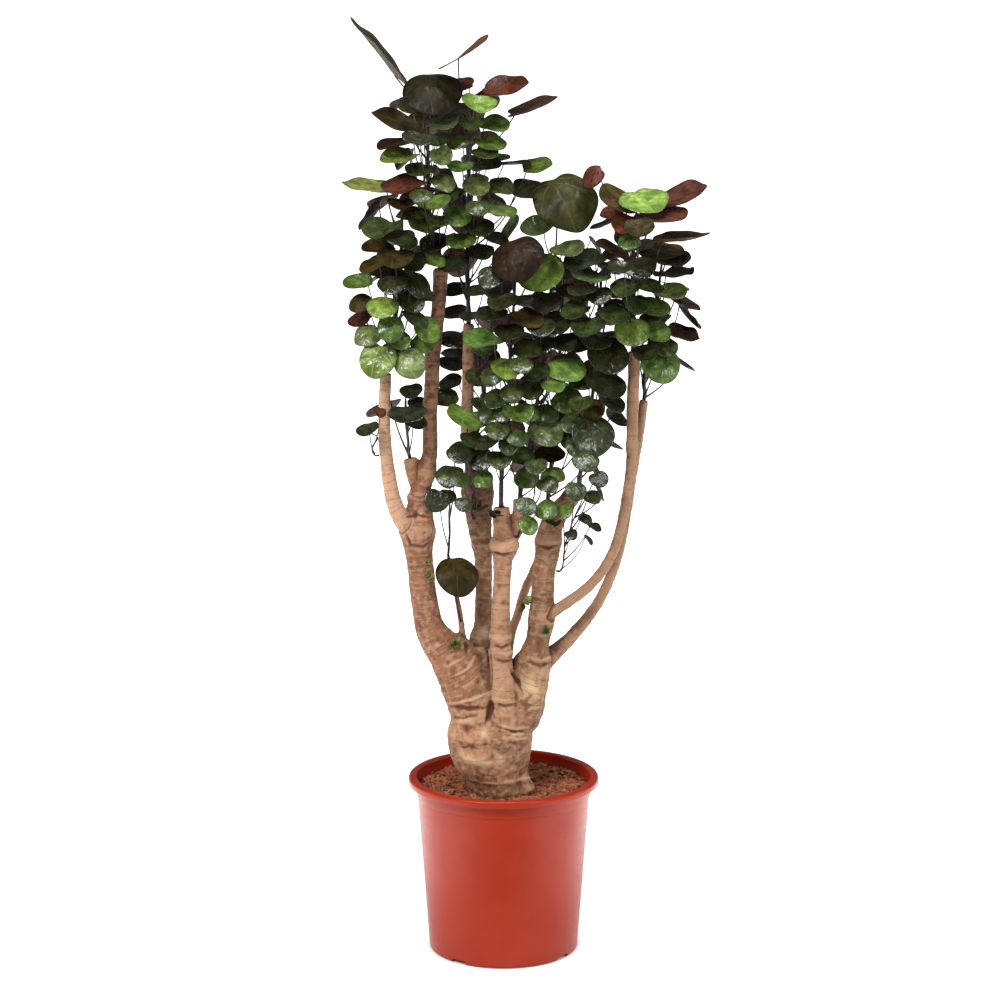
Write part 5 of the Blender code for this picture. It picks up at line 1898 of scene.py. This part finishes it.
    marks: tuple[Mark, ...] = (
        Mark(-47, 284, 6, 8, -2.2, RUSSET, 0.95),
        Mark(-50, 296, 10, 5, 1.2, PALE, 0.4),
        Mark(-45, 280, 17, 18, 2.2),
        Mark(-25, 279, 6, 6, 0.6, screen(244, 214, 176), 0.9),
        Mark(-4, 244, 5, 6, 0.0, screen(224, 206, 184), 0.8),
        Mark(8, 258, 14, 8, -0.8, screen(128, 92, 66), 0.6),
        Mark(-14, 262, 10, 9, -0.8, screen(140, 104, 76), 0.5),
        Mark(18, 246, 12, 7, 0.6, screen(120, 90, 62), 0.6),
        Mark(18, 300, 18, 16, 2.4, screen(158, 110, 80), 0.5),
        Mark(36, 338, 13, 15, 1.0, screen(240, 202, 152), 0.95),
        Mark(46, 356, 9, 9, -0.5, screen(208, 170, 130), 0.5),
        Mark(-20, 311, 8, 6, -1.0, screen(124, 60, 40), 0.7),
        Mark(-30, 344, 9, 20, -1.4, screen(168, 140, 98), 0.5),
        Mark(-23, 409, 5, 6, 0.3, screen(236, 216, 204), 0.9),
        Mark(-48, 400, 7, 8, 0.4, MOSS, 0.9),
        Mark(-29, 386, 7, 6, 0.4, screen(128, 124, 70), 0.8),
        Mark(-36, 402, 10, 4, 0.0, screen(120, 104, 64), 0.7),
        Mark(50, 417, 9, 4, 0.0, MOSS, 0.85),
        Mark(30, 372, 5, 5, 0.0, screen(104, 92, 52), 0.7),
        Mark(-46, 392, 3, 9, -2.4, screen(60, 40, 28), 0.85),
        Mark(44, 392, 4, 12, -1.2, screen(96, 66, 48), 0.6),
        Mark(-105, 540, 17, 15, 1.4, screen(190, 138, 106), 0.8),
        Mark(-110, 560, 3, 4, -3.0, screen(72, 42, 30), 0.95),
        Mark(0, 521, 13, 6, 1.0, screen(220, 176, 132), 0.85),
        Mark(-3, 568, 9, 3, 0.0, screen(84, 58, 44), 0.7),
        Mark(20, 580, 9, 3, 0.0, screen(160, 108, 74), 0.7),
        Mark(-28, 540, 12, 24, 0.0, screen(136, 118, 76), 0.45),
        Mark(59, 530, 13, 10, 1.2, screen(212, 164, 122), 0.6),
        Mark(-6, 470, 4, 4, -1.2, screen(150, 96, 70), 0.8),
        Mark(0, 448, 4, 4, -1.4, screen(150, 96, 70), 0.8),
        Mark(160, 760, 9, 6, 0.0, screen(110, 76, 56), 0.6),
        Mark(173, 704, 8, 4, 0.0, screen(96, 66, 48), 0.8),
    )

    def ring_line(self, points: np.ndarray) -> np.ndarray:
        """Height of the ring on the root collar, at each point's x."""
        return self.ring_height + self.ring_rise * (points[:, 0] + 10.0)

    def shaped(self, name: str) -> list[tuple]:
        """A branch's points with its fuller foot, as (x, z, y, radius)."""
        if name not in self.fuller:
            return list(BRANCHES[name])
        foot = self.fuller[name]
        return list(foot) + [point for point in BRANCHES[name] if point[1] > foot[-1][1]]

    def base(self) -> bpy.types.Mesh:
        """Stack the trunk's sections on its stub."""
        bm = bmesh.new()
        bmesh.ops.create_cone(
            bm, cap_ends=True, segments=40, radius1=self.stub_radius, radius2=self.stub_radius, depth=2.0
        )
        bmesh.ops.translate(bm, vec=(self.stub_x, PLANT_DEPTH, self.stub_bottom + 1.0), verts=bm.verts)
        top = max(bm.faces, key=lambda face: face.calc_center_median().z)
        before = (self.stub_x, self.stub_radius, self.stub_radius)
        for x, z, half_width, half_depth in self.sections:
            raised = bmesh.ops.extrude_face_region(bm, geom=[top])
            corners = [item for item in raised["geom"] if isinstance(item, bmesh.types.BMVert)]
            bmesh.ops.delete(bm, geom=[top], context="FACES_ONLY")
            for corner in corners:
                corner.co.x = x + (corner.co.x - before[0]) * half_width / before[1]
                corner.co.y = PLANT_DEPTH + (corner.co.y - PLANT_DEPTH) * half_depth / before[2]
                corner.co.z = z
            before = (x, half_width, half_depth)
            top = [item for item in raised["geom"] if isinstance(item, bmesh.types.BMFace)][0]
        bmesh.ops.recalc_face_normals(bm, faces=bm.faces)
        return mesh_of("trunk_base", bm)

    def ways(self) -> dict[str, Way]:
        """Axes and radii of the base and of every branch, by name."""
        found = {"base": [(Vector((x, PLANT_DEPTH, z)), width) for x, z, width, _ in self.sections]}
        for name in BRANCHES:
            found[name] = seen_way(self.shaped(name))
        return {**found, "twig": seen_way(self.twig)}

    def grown(self) -> bpy.types.Object:
        """Grow base, roots and branches into one skin."""
        roots = [seen_way(root) for root in self.roots]
        branches = [way for name, way in self.ways().items() if name != "base"]
        limbs = tubes("limbs", branches + roots, 5, 6)
        bm = bmesh.new()
        for mesh in (self.base(), limbs):
            bm.from_mesh(mesh)
            bpy.data.meshes.remove(mesh)
        joined = bpy.data.meshes.new("bark")
        bm.to_mesh(joined)
        bm.free()
        piece = new_piece("bark", joined)
        skin = piece.modifiers.new("skin", "REMESH")
        skin.mode = "VOXEL"
        skin.voxel_size = self.voxel * MM
        settled(piece)
        bm = bmesh.new()
        bm.from_mesh(piece.data)
        for _ in range(self.smoothing):
            bmesh.ops.smooth_vert(
                bm, verts=bm.verts, factor=0.5, use_axis_x=True, use_axis_y=True, use_axis_z=True
            )
        bm.to_mesh(piece.data)
        bm.free()
        return piece

    @staticmethod
    def nearest(points: np.ndarray, ways: dict[str, Way]) -> dict[str, np.ndarray]:
        """Find for each point the branch that it lies on.

        Args:
            points: places in millimetres.
            ways: axes and radii of the branches.

        Returns:
            Arrays by name: gap to each branch, and on the nearest one the length along it,
            the share of its length, its radius, its number and the direction outwards.
        """
        count = len(points)
        gaps = np.full((len(ways), count), 1e9)
        shares = np.zeros((len(ways), count))
        best = np.full(count, 1e9)
        found = {key: np.zeros(count) for key in ("along", "radius", "number")}
        out = np.zeros((count, 3))
        for number, way in enumerate(ways.values()):
            lengths = [(high - low).length for (low, _), (high, _) in zip(way, way[1:])]
            total, done = sum(lengths), 0.0
            for ((low, low_radius), (high, high_radius)), length in zip(zip(way, way[1:]), lengths):
                low, axis = np.array(low), np.array((high - low) / length)
                along = np.clip((points - low) @ axis, 0.0, length)
                offset = points - low - along[:, None] * axis
                away = np.linalg.norm(offset, axis=1)
                radius = low_radius + (high_radius - low_radius) * along / length
                gap = away - radius
                closer = gap < gaps[number]
                gaps[number][closer] = gap[closer]
                shares[number][closer] = ((done + along) / total)[closer]
                closer = gap < best
                best[closer] = gap[closer]
                found["along"][closer] = (done + along)[closer]
                found["radius"][closer] = radius[closer]
                found["number"][closer] = number
                out[closer] = (offset / np.maximum(away, 1e-6)[:, None])[closer]
                done += length
        return {"gaps": gaps, "shares": shares, "out": out, **found}

    def ring_ridges(self, found: dict[str, np.ndarray], wobble: np.ndarray, count: int) -> np.ndarray:
        """Strength of the leaf-scar rings at each point, at uneven steps along each branch.

        Args:
            found: what nearest gave.
            wobble: how far each point's ring strays along the branch, in millimetres.
            count: number of branches.

        Returns:
            1 on a ring and 0 between rings.
        """
        draw = random.Random(self.scar_seed)
        ridge = np.zeros(len(wobble))
        for number in range(count):
            rings, strengths, at = [], [], 0.0
            while at < self.scar_reach:
                at += draw.uniform(*self.scar_gap)
                rings.append(at)
                strengths.append(draw.uniform(0.25, 1.0))
            rings, strengths = np.array(rings), np.array(strengths)
            mine = found["number"] == number
            along = found["along"][mine] + wobble[mine]
            place = np.clip(np.searchsorted(rings, along), 1, len(rings) - 1)
            lower = along - rings[place - 1] < rings[place] - along
            place = np.where(lower, place - 1, place)
            off = along - rings[place]
            ridge[mine] = strengths[place] * np.exp(-(off / self.scar_width) ** 2)
        return ridge

    def front_marks(self, points: np.ndarray, outward: np.ndarray) -> list[tuple[Mark | Seam, np.ndarray]]:
        """How strongly each mark and seam lies on each point of the front.

        Args:
            points: places in millimetres.
            outward: the skin's normals.

        Returns:
            Each mark or seam with its share at every point.
        """
        x, z = as_seen(points)
        facing = np.clip(-outward[:, 1] * 2.0 + 0.3, 0.0, 1.0)
        return [(mark, facing * mark.share(x, z)) for mark in (*self.seams, *self.marks)]

    def hollows(self, mesh: bpy.types.Mesh) -> np.ndarray:
        """Measure how deep each point lies among its neighbours, near by and further round.

        Args:
            mesh: the skin.

        Returns:
            1 in a deep crease, 0 on flat bark and down to -1 on a raised edge.
        """
        count = len(mesh.vertices)
        points, outward = points_and_normals(mesh)
        pairs = np.zeros(len(mesh.edges) * 2, int)
        mesh.edges.foreach_get("vertices", pairs)
        starts, ends = pairs[0::2], pairs[1::2]
        degree = np.bincount(pairs, minlength=count)
        value = points.copy()
        total = np.zeros(count)
        for step in range(1, max(self.hollow_depths) + 1):
            around = np.zeros((count, 3))
            for axis in range(3):
                around[:, axis] = np.bincount(starts, value[ends, axis], count)
                around[:, axis] += np.bincount(ends, value[starts, axis], count)
            value = 0.4 * value + 0.6 * around / np.maximum(degree, 1)[:, None]
            if step in self.hollow_depths:
                depth = ((value - points) * outward).sum(axis=1) / MM
                total += np.clip(depth / self.hollow_depths[step], -1.0, 1.0) * 0.6
        return np.clip(total, -1.0, 1.0)

    def weather(self, piece: bpy.types.Object) -> None:
        """Push the skin into knots and rings, and paint its tints.

        Args:
            piece: the smooth skin.
        """
        mesh = piece.data
        points, outward = points_and_normals(mesh)
        points = points / MM
        ways = self.ways()
        found = self.nearest(points, ways)
        thick = np.clip(found["radius"] / 45.0, 0.12, 1.0)
        wobble = 3.2 * wave_noise(points, 26.0, 3.1) + 1.2 * wave_noise(points, 8.0, 5.7)
        ridge = self.ring_ridges(found, wobble, len(ways))
        lumps = wave_noise(points, 32.0, 1.7, 2)
        rough = wave_noise(points, 8.0, 8.3, 2)
        push = 3.0 * thick ** 1.3 * lumps + (0.35 + 0.9 * thick) * rough
        push += ridge * (0.3 + 0.4 * thick)
        height = as_seen(points)[1]
        for name, place, tall, swell in self.swellings:
            mine = found["number"] == list(ways).index(name)
            push += mine * swell * np.exp(-((height - place) / tall) ** 2)
        marks = self.front_marks(points, outward)
        for mark, share in marks:
            push += mark.push * share
        ring = self.ring_line(points)
        push += 1.0 * np.exp(-((points[:, 2] - ring - 1.5) / 1.8) ** 2)
        free = np.clip((points[:, 2] - self.buried_to) / self.free_over, 0.0, 1.0)
        points += outward * (push * free)[:, None]
        mesh.vertices.foreach_set("co", (points * MM).ravel())
        mesh.update()
        self.paint(mesh, points, found, marks)

    def paint(
        self, mesh: bpy.types.Mesh, points: np.ndarray, found: dict[str, np.ndarray],
        marks: list[tuple[Mark | Seam, np.ndarray]],
    ) -> None:
        """Write the bark's attributes.

        Args:
            mesh: the weathered skin.
            points: its points in millimetres.
            found: what nearest gave.
            marks: the marks and seams with their shares.
        """
        gaps = found["gaps"] - found["gaps"].min(axis=0)
        weights = np.exp(-np.clip(gaps, 0.0, 60.0) / 3.5)
        weights /= weights.sum(axis=0)
        tint = np.zeros((len(points), 3))
        for number, name in enumerate(self.ways()):
            low, high = (np.array(colour[:3]) for colour in self.tints[name])
            share = np.clip(found["shares"][number] * 1.6 - 0.3, 0.0, 1.0)[:, None]
            tint += weights[number][:, None] * (low + (high - low) * share)
        ring = self.ring_line(points)
        collar = np.clip((ring - points[:, 2]) / 2.5, 0.0, 1.0)[:, None]
        tint += (np.array(self.collar_tint[:3]) - tint) * 0.85 * collar
        for mark, share in marks:
            if mark.tint:
                tint += (np.array(mark.tint[:3]) - tint) * (mark.strength * share)[:, None]
        line = np.exp(-((points[:, 2] - ring - 1.0) / 1.4) ** 2)[:, None]
        tint += (np.array(PALE[:3]) - tint) * 0.9 * line
        colours = np.ones((len(points), 4))
        colours[:, :3] = tint
        place = np.stack((found["out"][:, 0], found["out"][:, 1], found["along"]), axis=1)
        place[:, :2] *= found["radius"][:, None]
        place[:, 2] += self.place_step * found["number"]
        seam = np.sort(gaps, axis=0)[1]
        calm = np.clip((seam - 1.5) / 4.0, 0.0, 1.0) * np.where(points[:, 2] < ring, 0.2, 1.0)
        layers = (
            ("bark_tint", "FLOAT_COLOR", "color", colours), ("bark_place", "FLOAT_VECTOR", "vector", place),
            ("bark_calm", "FLOAT", "value", calm), ("bark_hollow", "FLOAT", "value", self.hollows(mesh)),
        )
        for name, kind, key, values in layers:
            layer = mesh.attributes.new(name, kind, "POINT")
            layer.data.foreach_set(key, values.astype(np.float32).ravel())

    def build(self) -> bpy.types.Object:
        """Grow, weather and dress the trunk."""
        piece = self.grown()
        self.weather(piece)
        piece.data.materials.clear()
        piece.data.materials.append(Bark().material())
        piece.data.shade_smooth()
        hand_over(piece, "bark", "trunk")
        return piece


@dataclass(frozen=True)
class LeafForm:
    """How one blade departs from a flat disc, in shares of half its width."""

    length: float
    notch: float
    point: float
    cup: float
    fold: float
    droop: float
    ruffle: float
    waves: int
    phase: float
    pucker: float
    ridge: float
    seed: float

    @classmethod
    def drawn(cls, draw: random.Random, placed: Placed) -> "LeafForm":
        """Draw a form: mostly hooded if face-on, pointed if large and seen aslant, else a bowl."""
        shown = placed.facing.z * math.sin(VIEW_PITCH) - placed.facing.y * math.cos(VIEW_PITCH)
        large = placed.across > LARGE_ACROSS
        deep = 0.4 if large else 1.0
        cup, point = draw.uniform(0.04, 0.34) * deep, draw.uniform(0.0, 0.12)
        if shown > FACE_ON:
            cup = draw.uniform(-0.42, -0.3) if large else draw.uniform(-0.34, 0.1)
        elif large:
            point = draw.uniform(0.10, 0.24)
        folded = 0.07 if large and shown < EDGE_ON else 0.0
        return cls(
            length=draw.uniform(0.95, 1.12), notch=draw.uniform(0.14, 0.32), point=point, cup=cup,
            fold=draw.uniform(-0.02, 0.14) * deep + folded, droop=draw.uniform(0.02, 0.26) * deep,
            ruffle=draw.uniform(0.02, 0.07) * deep, waves=draw.choice((3, 4, 5)),
            phase=draw.uniform(0.0, 6.28), pucker=draw.uniform(0.03, 0.09) * deep ** 0.5,
            ridge=draw.uniform(0.008, 0.022), seed=draw.uniform(0.0, 90.0),
        )

    def plan(self, x: float, y: float) -> tuple[float, float]:
        """Move a point of the plain disc to the leaf's outline.

        Args:
            x, y: the point in the unit disc, the tip along x.

        Returns:
            The point in the leaf's plan.
        """
        reach, angle = math.hypot(x, y), math.atan2(y, x)
        back = math.pi - abs(angle)
        rim = 0.05 * math.exp(-((back - 0.7) / 0.4) ** 2) - self.notch * math.exp(-(back / 0.28) ** 2)
        wave = 0.025 * math.sin(self.waves * angle + self.phase)
        rim += wave + 0.5 * self.point * math.exp(-(angle / 0.3) ** 2)
        scale = 1.04 + rim * reach ** 3
        return x * scale * self.length, y * scale * (1.0 - self.point * x * x)

    def lift(self, x: float, y: float) -> float:
        """Height of the blade over its flat plan.

        Args:
            x, y: the point in the leaf's plan.

        Returns:
            The height in half widths.
        """
        reach, angle = math.hypot(x, y), math.atan2(y, x)
        far, turn = math.hypot(x + 0.6, y), math.atan2(y, x + 0.6)
        height = self.cup * (reach * reach - (0.7 if self.cup < 0.0 else 0.4)) + self.fold * (abs(y) - 0.3)
        height -= self.droop * max(0.0, x) ** 2
        height += self.ruffle * reach ** 3 * math.sin(self.waves * angle + self.phase)
        height += self.pucker * noise.noise(Vector((2.4 * x, 2.4 * y, self.seed)))
        return height + self.ridge * min(1.0, far) * math.cos(9.0 * turn)


@dataclass
class LeafyStem:
    """One leafy stem: its young wood, its leaf stalks and its blades."""

    name: str
    way: Way
    leaves: list[Placed]
    replaced: tuple[str, ...]
    skins: list[bpy.types.Material]
    stalk_skin: bpy.types.Material
    seed: int
    thickness: float = 0.9
    sway: float = 0.30
    arch: tuple = ((0.0, 0.0), (0.14, 0.5), (0.5, 1.0), (0.82, 0.5), (1.0, 0.0))
    cages: tuple = (
        (55.0, 28, (0.12, 0.17, 0.17, 0.17, 0.17)), (40.0, 20, (0.18, 0.25, 0.25)), (0.0, 16, (0.26, 0.34)),
    )

    def swayed(self, placed: Placed, draw: random.Random) -> Placed:
        """Turn a blade a little about its stalk's end.

        Args:
            placed: the blade as it was laid out.
            draw: the seeded draw.

        Returns:
            The turned blade.
        """
        axis = Vector([draw.uniform(-1.0, 1.0) for _ in range(3)]).normalized()
        most = self.sway * min(1.0, SWAY_WIDTH / placed.across) ** 2
        turn = Matrix.Rotation(draw.uniform(-most, most), 3, axis)
        return replace(
            placed, middle=placed.root + turn @ (placed.middle - placed.root),
            facing=turn @ placed.facing, tip=turn @ placed.tip,
        )

    @staticmethod
    def half(placed: Placed) -> float:
        """Half the shown width of a blade, a little over its solid's where it is small."""
        return 0.5 * placed.across * (1.16 - 0.0018 * placed.across)

    def blade(self, bm: bmesh.types.BMesh, placed: Placed, form: LeafForm, tint: Sequence[float]) -> None:
        """Add one blade.

        Args:
            bm: the mesh being made.
            placed: where the blade is.
            form: its form.
            tint: factors on the red, green and blue of its tone.
        """
        layers = bm.verts.layers
        plan_layer, size_layer = layers.float_vector["leaf_place"], layers.float["leaf_size"]
        upper_layer, under_layer = layers.float_color["leaf_upper"], layers.float_color["leaf_under"]
        first = len(bm.verts)
        sides, insets = next((count, steps) for least, count, steps in self.cages if placed.across > least)
        made = bmesh.ops.create_circle(bm, cap_ends=True, segments=sides, radius=1.0)
        face = made["verts"][0].link_faces[0]
        if face.normal.z < 0.0:
            bmesh.ops.reverse_faces(bm, faces=[face])
        rings = []
        for inset in insets:
            made = bmesh.ops.inset_individual(bm, faces=[face], thickness=inset, use_even_offset=True)
            rings += made["faces"]
        rings += bmesh.ops.poke(bm, faces=[face])["faces"]
        bmesh.ops.solidify(bm, geom=rings, thickness=self.thickness / self.half(placed))
        bm.verts.ensure_lookup_table()
        verts = bm.verts[first:]
        faces = {face for vert in verts for face in vert.link_faces}
        bmesh.ops.recalc_face_normals(bm, faces=list(faces))
        top = 2 if placed.tone in YOUNG_TONES else 0
        for face in faces:
            face.material_index = 1 if face.normal.z < -0.5 else top
            face.smooth = True
        upper, under = (
            (*[part * factor for part, factor in zip(screen(*tone), tint)], 1.0) for tone in placed.tone.value
        )
        for vert in verts:
            x, y = form.plan(vert.co.x, vert.co.y)
            vert.co = Vector((x, y, vert.co.z + form.lift(x, y)))
            vert[plan_layer] = (x, y, form.seed)
            vert[size_layer] = self.half(placed) / LARGE_HALF
            vert[upper_layer] = upper
            vert[under_layer] = under
        side = placed.facing.cross(placed.tip)
        turn = Matrix((placed.tip, side, placed.facing)).transposed().to_4x4()
        turn.translation = placed.middle
        bmesh.ops.transform(bm, matrix=turn @ Matrix.Scale(self.half(placed), 4), verts=verts)

    def stalk(self, placed: Placed, form: LeafForm, draw: random.Random) -> Way:
        """Lead a stalk from the stem to the blade in a slight arch.

        Args:
            placed: the blade.
            form: its form.
            draw: the seeded draw.

        Returns:
            The stalk's points and radii.
        """
        half = self.half(placed)
        x, y = form.plan(-2.0 * BLADE_ROOT, 0.0)
        sunk = half * form.lift(x, y) - 0.4 * self.thickness
        end = placed.middle + placed.tip * half * x + placed.facing * sunk
        start = placed.start
        if self.way:
            low = max(self.way[0][0].z + 2.0, placed.start.z - draw.uniform(0.0, 16.0))
            start = at_height(self.way, low)[0]
        chord = end - start
        sag = chord.length * draw.uniform(0.04, 0.12)
        out = Vector((chord.x, chord.y, 0.0))
        out = out.normalized() if out.length > 1e-3 else Vector((0.0, -1.0, 0.0))
        bend = out * sag - Vector((0.0, 0.0, 1.0)) * 0.25 * sag
        width = draw.uniform(0.75, 1.0) * (0.65 + 0.5 * min(1.0, placed.across / 60.0))
        points = [start + (end - start) * share + bend * lift for share, lift in self.arch]
        return list(zip(points, (1.9 * width, 1.25 * width, 0.95 * width, 0.9 * width, 1.0 * width)))

    def stem(self, draw: random.Random) -> Way:
        """The stem with a swelling at uneven steps, where leaves have been."""
        way = []
        for (low, low_radius), (high, high_radius) in zip(self.way, self.way[1:]):
            steps = max(1, int((high - low).length / 6.0))
            for i in range(steps):
                share = i / steps
                radius = low_radius + share * (high_radius - low_radius)
                way.append((low.lerp(high, share), radius * draw.choice((0.92, 1.0, 1.12))))
        way.append(self.way[-1])
        tip, radius = self.way[-1]
        way.append((tip + (tip - self.way[-2][0]).normalized() * 5.0, 0.4 * radius))
        return way

    def build(self) -> list[bpy.types.Object]:
        """Make the blades, and the stem with its stalks."""
        draw = random.Random(self.seed)
        bm = bmesh.new()
        bm.verts.layers.float_vector.new("leaf_place")
        bm.verts.layers.float.new("leaf_size")
        bm.verts.layers.float_color.new("leaf_upper")
        bm.verts.layers.float_color.new("leaf_under")
        ways = [self.stem(draw)] if self.way else []
        for leaf in self.leaves:
            placed = self.swayed(leaf, draw)
            form = LeafForm.drawn(draw, placed)
            light, warm = draw.uniform(0.88, 1.42), draw.uniform(-0.04, 0.16)
            self.blade(bm, placed, form, (light * (1.0 + warm), light, light * (1.0 - warm)))
            ways.append(self.stalk(placed, form, draw))
        blades = new_piece(self.name + "_blades", mesh_of(self.name, bm), self.skins)
        rounded = blades.modifiers.new("rounded", "SUBSURF")
        rounded.levels = 1
        rounded.render_levels = 1
        hand_over(blades, "leaves", *self.replaced)
        stalks = new_piece(self.name + "_stalks", tubes(self.name + "_stalks", ways, 1, 3), [self.stalk_skin])
        hand_over(stalks, "leaves")
        return [blades, stalks]


@dataclass
class Crown:
    """Every leafy stem and sprig of the plant."""

    upper: LeafSkin = LeafSkin("leaf_upper_side", "leaf_upper", 0.45, 1.25, (0.21, 0.34), -0.16, 0.44)
    young: LeafSkin = LeafSkin("young_leaf_side", "leaf_upper", 0.5, 1.5, (0.34, 0.48), -0.16, 0.10)
    under: LeafSkin = LeafSkin("leaf_underside", "leaf_under", 0.4, 0.8, (0.52, 0.66), 0.3, 0.12)
    tufts: tuple = (
        ("left", 489, -70, 4, 9, LIME), ("back", 438, -80, 2, 13, LIME),
        ("right", 452, -150, 3, 11, LIME), ("right", 417, -75, 7, 7, GREEN),
        ("left", 400, -40, 6, 8, GREEN), ("middle", 388, -80, 6, 6, SAGE),
        ("left", 505, -60, 2, 8, LIME), ("middle", 572, -100, 4, 12, DEEP),
        ("front", 566, -120, 4, 11, NIGHT), ("right", 556, -100, 4, 13, DEEP),
    )
    twig: tuple = ((-50, 396, 2, 3.0), (-54, 430, 10, 3.0), (-60, 462, 18, 3.0))
    twig_top: float = 466.0
    tuft_seed: int = 61
    tuft_form_seed: int = 90
    first_seed: int = 100

    def sprouts(self) -> list[Placed]:
        """Tufts of small leaves straight on the bark."""
        draw = random.Random(self.tuft_seed)
        leaves = []
        for host, height, side, count, across, tone in self.tufts:
            axis, radius = at_height(branch_way(host), seen(0.0, height, PLANT_DEPTH).z)
            out = heading(math.radians(side))
            seat = axis + out * radius
            for _ in range(count):
                stray = Vector((draw.uniform(-1.0, 1.0), draw.uniform(-0.6, 0.4), draw.uniform(-0.2, 1.0)))
                aim = (out + stray).normalized()
                size = across * draw.uniform(0.6, 1.1)
                facing = Vector((draw.uniform(-0.5, 0.5), -0.7, 0.7))
                facing = (facing - aim * facing.dot(aim)).normalized()
                middle = seat + aim * (draw.uniform(3.0, 8.0) + 0.4 * size)
                leaves.append(Placed("sprouts", seat, middle, facing, aim, size, tone))
        return leaves

    def build(self) -> list[bpy.types.Object]:
        """Lay out the leaves and make every leafy stem."""
        ways, leaves = lay_out_leaves()
        above = [knot for knot in ways["leafy_twig_low"] if knot[0].z > self.twig_top]
        ways["leafy_twig_low"] = seen_way(self.twig) + above
        skins = [self.upper.material(), self.under.material(), self.young.material()]
        stalk_skin = StalkSkin().material()
        nodes = {shoot.name for shoot in SHOOTS}
        pieces = []
        for seed, (name, way) in enumerate(ways.items()):
            replaced = (name,) if name in nodes else ()
            stem_seed = self.first_seed + seed
            pieces += LeafyStem(name, way, leaves[name], replaced, skins, stalk_skin, stem_seed).build()
        tufts = LeafyStem("sprouts", [], self.sprouts(), (), skins, stalk_skin, self.tuft_form_seed)
        pieces += tufts.build()
        LOG.info("leaves: %d", sum(len(group) for group in leaves.values()))
        return pieces


@dataclass
class Studio:
    """Pale floor, soft light and the camera of the photo's angle."""

    floor_radius: float = 60.0
    eye: tuple[float, float, float] = (-0.0045, -3.7, 1.325)
    lens: float = 109.44
    walls: Colour = (0.24, 0.24, 0.24, 1.0)
    room: Colour = (0.12, 0.12, 0.12, 1.0)
    lamps: tuple = (
        ("key", (-1.7, -2.4, 2.9), (0.0, 0.0, 0.7), 0.9, 98.0),
        ("fill", (2.3, -2.2, 2.0), (0.0, 0.0, 0.6), 0.8, 35.0),
        ("front", (-0.2, -1.7, 3.4), (0.0, 0.0, 0.7), 0.7, 32.0),
        ("top", (0.3, -0.2, 3.1), (0.0, 0.0, 0.6), 0.8, 46.0),
        ("left_side", (-2.8, 0.6, 1.2), (0.0, 0.0, 0.5), 1.2, 12.0),
        ("right_side", (2.8, 0.6, 1.2), (0.0, 0.0, 0.5), 1.2, 14.0),
    )

    def floor(self) -> bpy.types.Object:
        """Wide round floor."""
        bm = bmesh.new()
        bmesh.ops.create_circle(bm, cap_ends=True, segments=96, radius=self.floor_radius / MM)
        if bm.faces[:][0].normal.z < 0.0:
            bmesh.ops.reverse_faces(bm, faces=bm.faces)
        piece = new_piece("floor", mesh_of("floor", bm), [PaleGround().material()])
        piece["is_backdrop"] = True
        return piece

    def world(self) -> None:
        """Bright wall behind the object, and a dark room above and in front of it."""
        world = bpy.data.worlds.new("studio")
        world.use_nodes = True
        nodes, links = world.node_tree.nodes, world.node_tree.links
        place = nodes.new("ShaderNodeTexCoord")
        parts = nodes.new("ShaderNodeSeparateXYZ")
        links.new(place.outputs["Generated"], parts.inputs[0])
        share = nodes.new("ShaderNodeMath")
        share.operation = "MULTIPLY"
        for i, (part, none, full) in enumerate(((1, -0.15, 0.5), (2, 0.5, 0.15))):
            fade = nodes.new("ShaderNodeMapRange")
            fade.interpolation_type = "SMOOTHSTEP"
            fade.inputs["From Min"].default_value = none
            fade.inputs["From Max"].default_value = full
            links.new(parts.outputs[part], fade.inputs["Value"])
            links.new(fade.outputs["Result"], share.inputs[i])
        mix = nodes.new("ShaderNodeMix")
        mix.data_type = "RGBA"
        mix.inputs[6].default_value = self.room
        mix.inputs[7].default_value = self.walls
        links.new(share.outputs[0], mix.inputs[0])
        links.new(mix.outputs[2], nodes["Background"].inputs["Color"])
        bpy.context.scene.world = world

    def lamp(
        self, name: str, place: Sequence[float], target: Sequence[float], size: float, power: float
    ) -> None:
        """Hang a soft square lamp.

        Args:
            name: the lamp's name.
            place: where it hangs.
            target: where it points.
            size: its side.
            power: its watts.
        """
        light = bpy.data.lights.new(name, "AREA")
        light.size = size
        light.energy = power
        holder = bpy.data.objects.new(name, light)
        holder.location = place
        holder.rotation_euler = (Vector(target) - Vector(place)).to_track_quat("-Z", "Y").to_euler()
        bpy.context.scene.collection.objects.link(holder)

    def camera(self) -> None:
        """Set up the camera."""
        lens = bpy.data.cameras.new("camera")
        lens.lens = self.lens
        lens.sensor_width = 36.0
        lens.clip_end = 200.0
        holder = bpy.data.objects.new("camera", lens)
        holder.location = self.eye
        holder.rotation_euler = (math.radians(90.0) - VIEW_PITCH, 0.0, 0.0)
        bpy.context.scene.collection.objects.link(holder)
        bpy.context.scene.camera = holder

    def build(self) -> None:
        """Set up floor, light, camera and plain colour handling."""
        self.camera()
        self.floor()
        self.world()
        for lamp in self.lamps:
            self.lamp(*lamp)
        bpy.context.scene.view_settings.view_transform = "Standard"
        LOG.info("studio: floor, %d lamps, camera", len(self.lamps))


def corners() -> list[list[float]]:
    """Lowest and highest corner of the shown object, as plain lists."""
    return [list(corner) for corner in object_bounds()]


def main() -> None:
    """Build the looks in order."""
    logging.basicConfig(level=logging.INFO, format="%(name)s %(message)s")
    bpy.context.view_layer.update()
    Studio().build()
    pot = Pot()
    pot.build()
    Soil(pot).build()
    Trunk().build()
    Crown().build()
    bpy.context.view_layer.update()


if __name__ == "__main__":
    main()
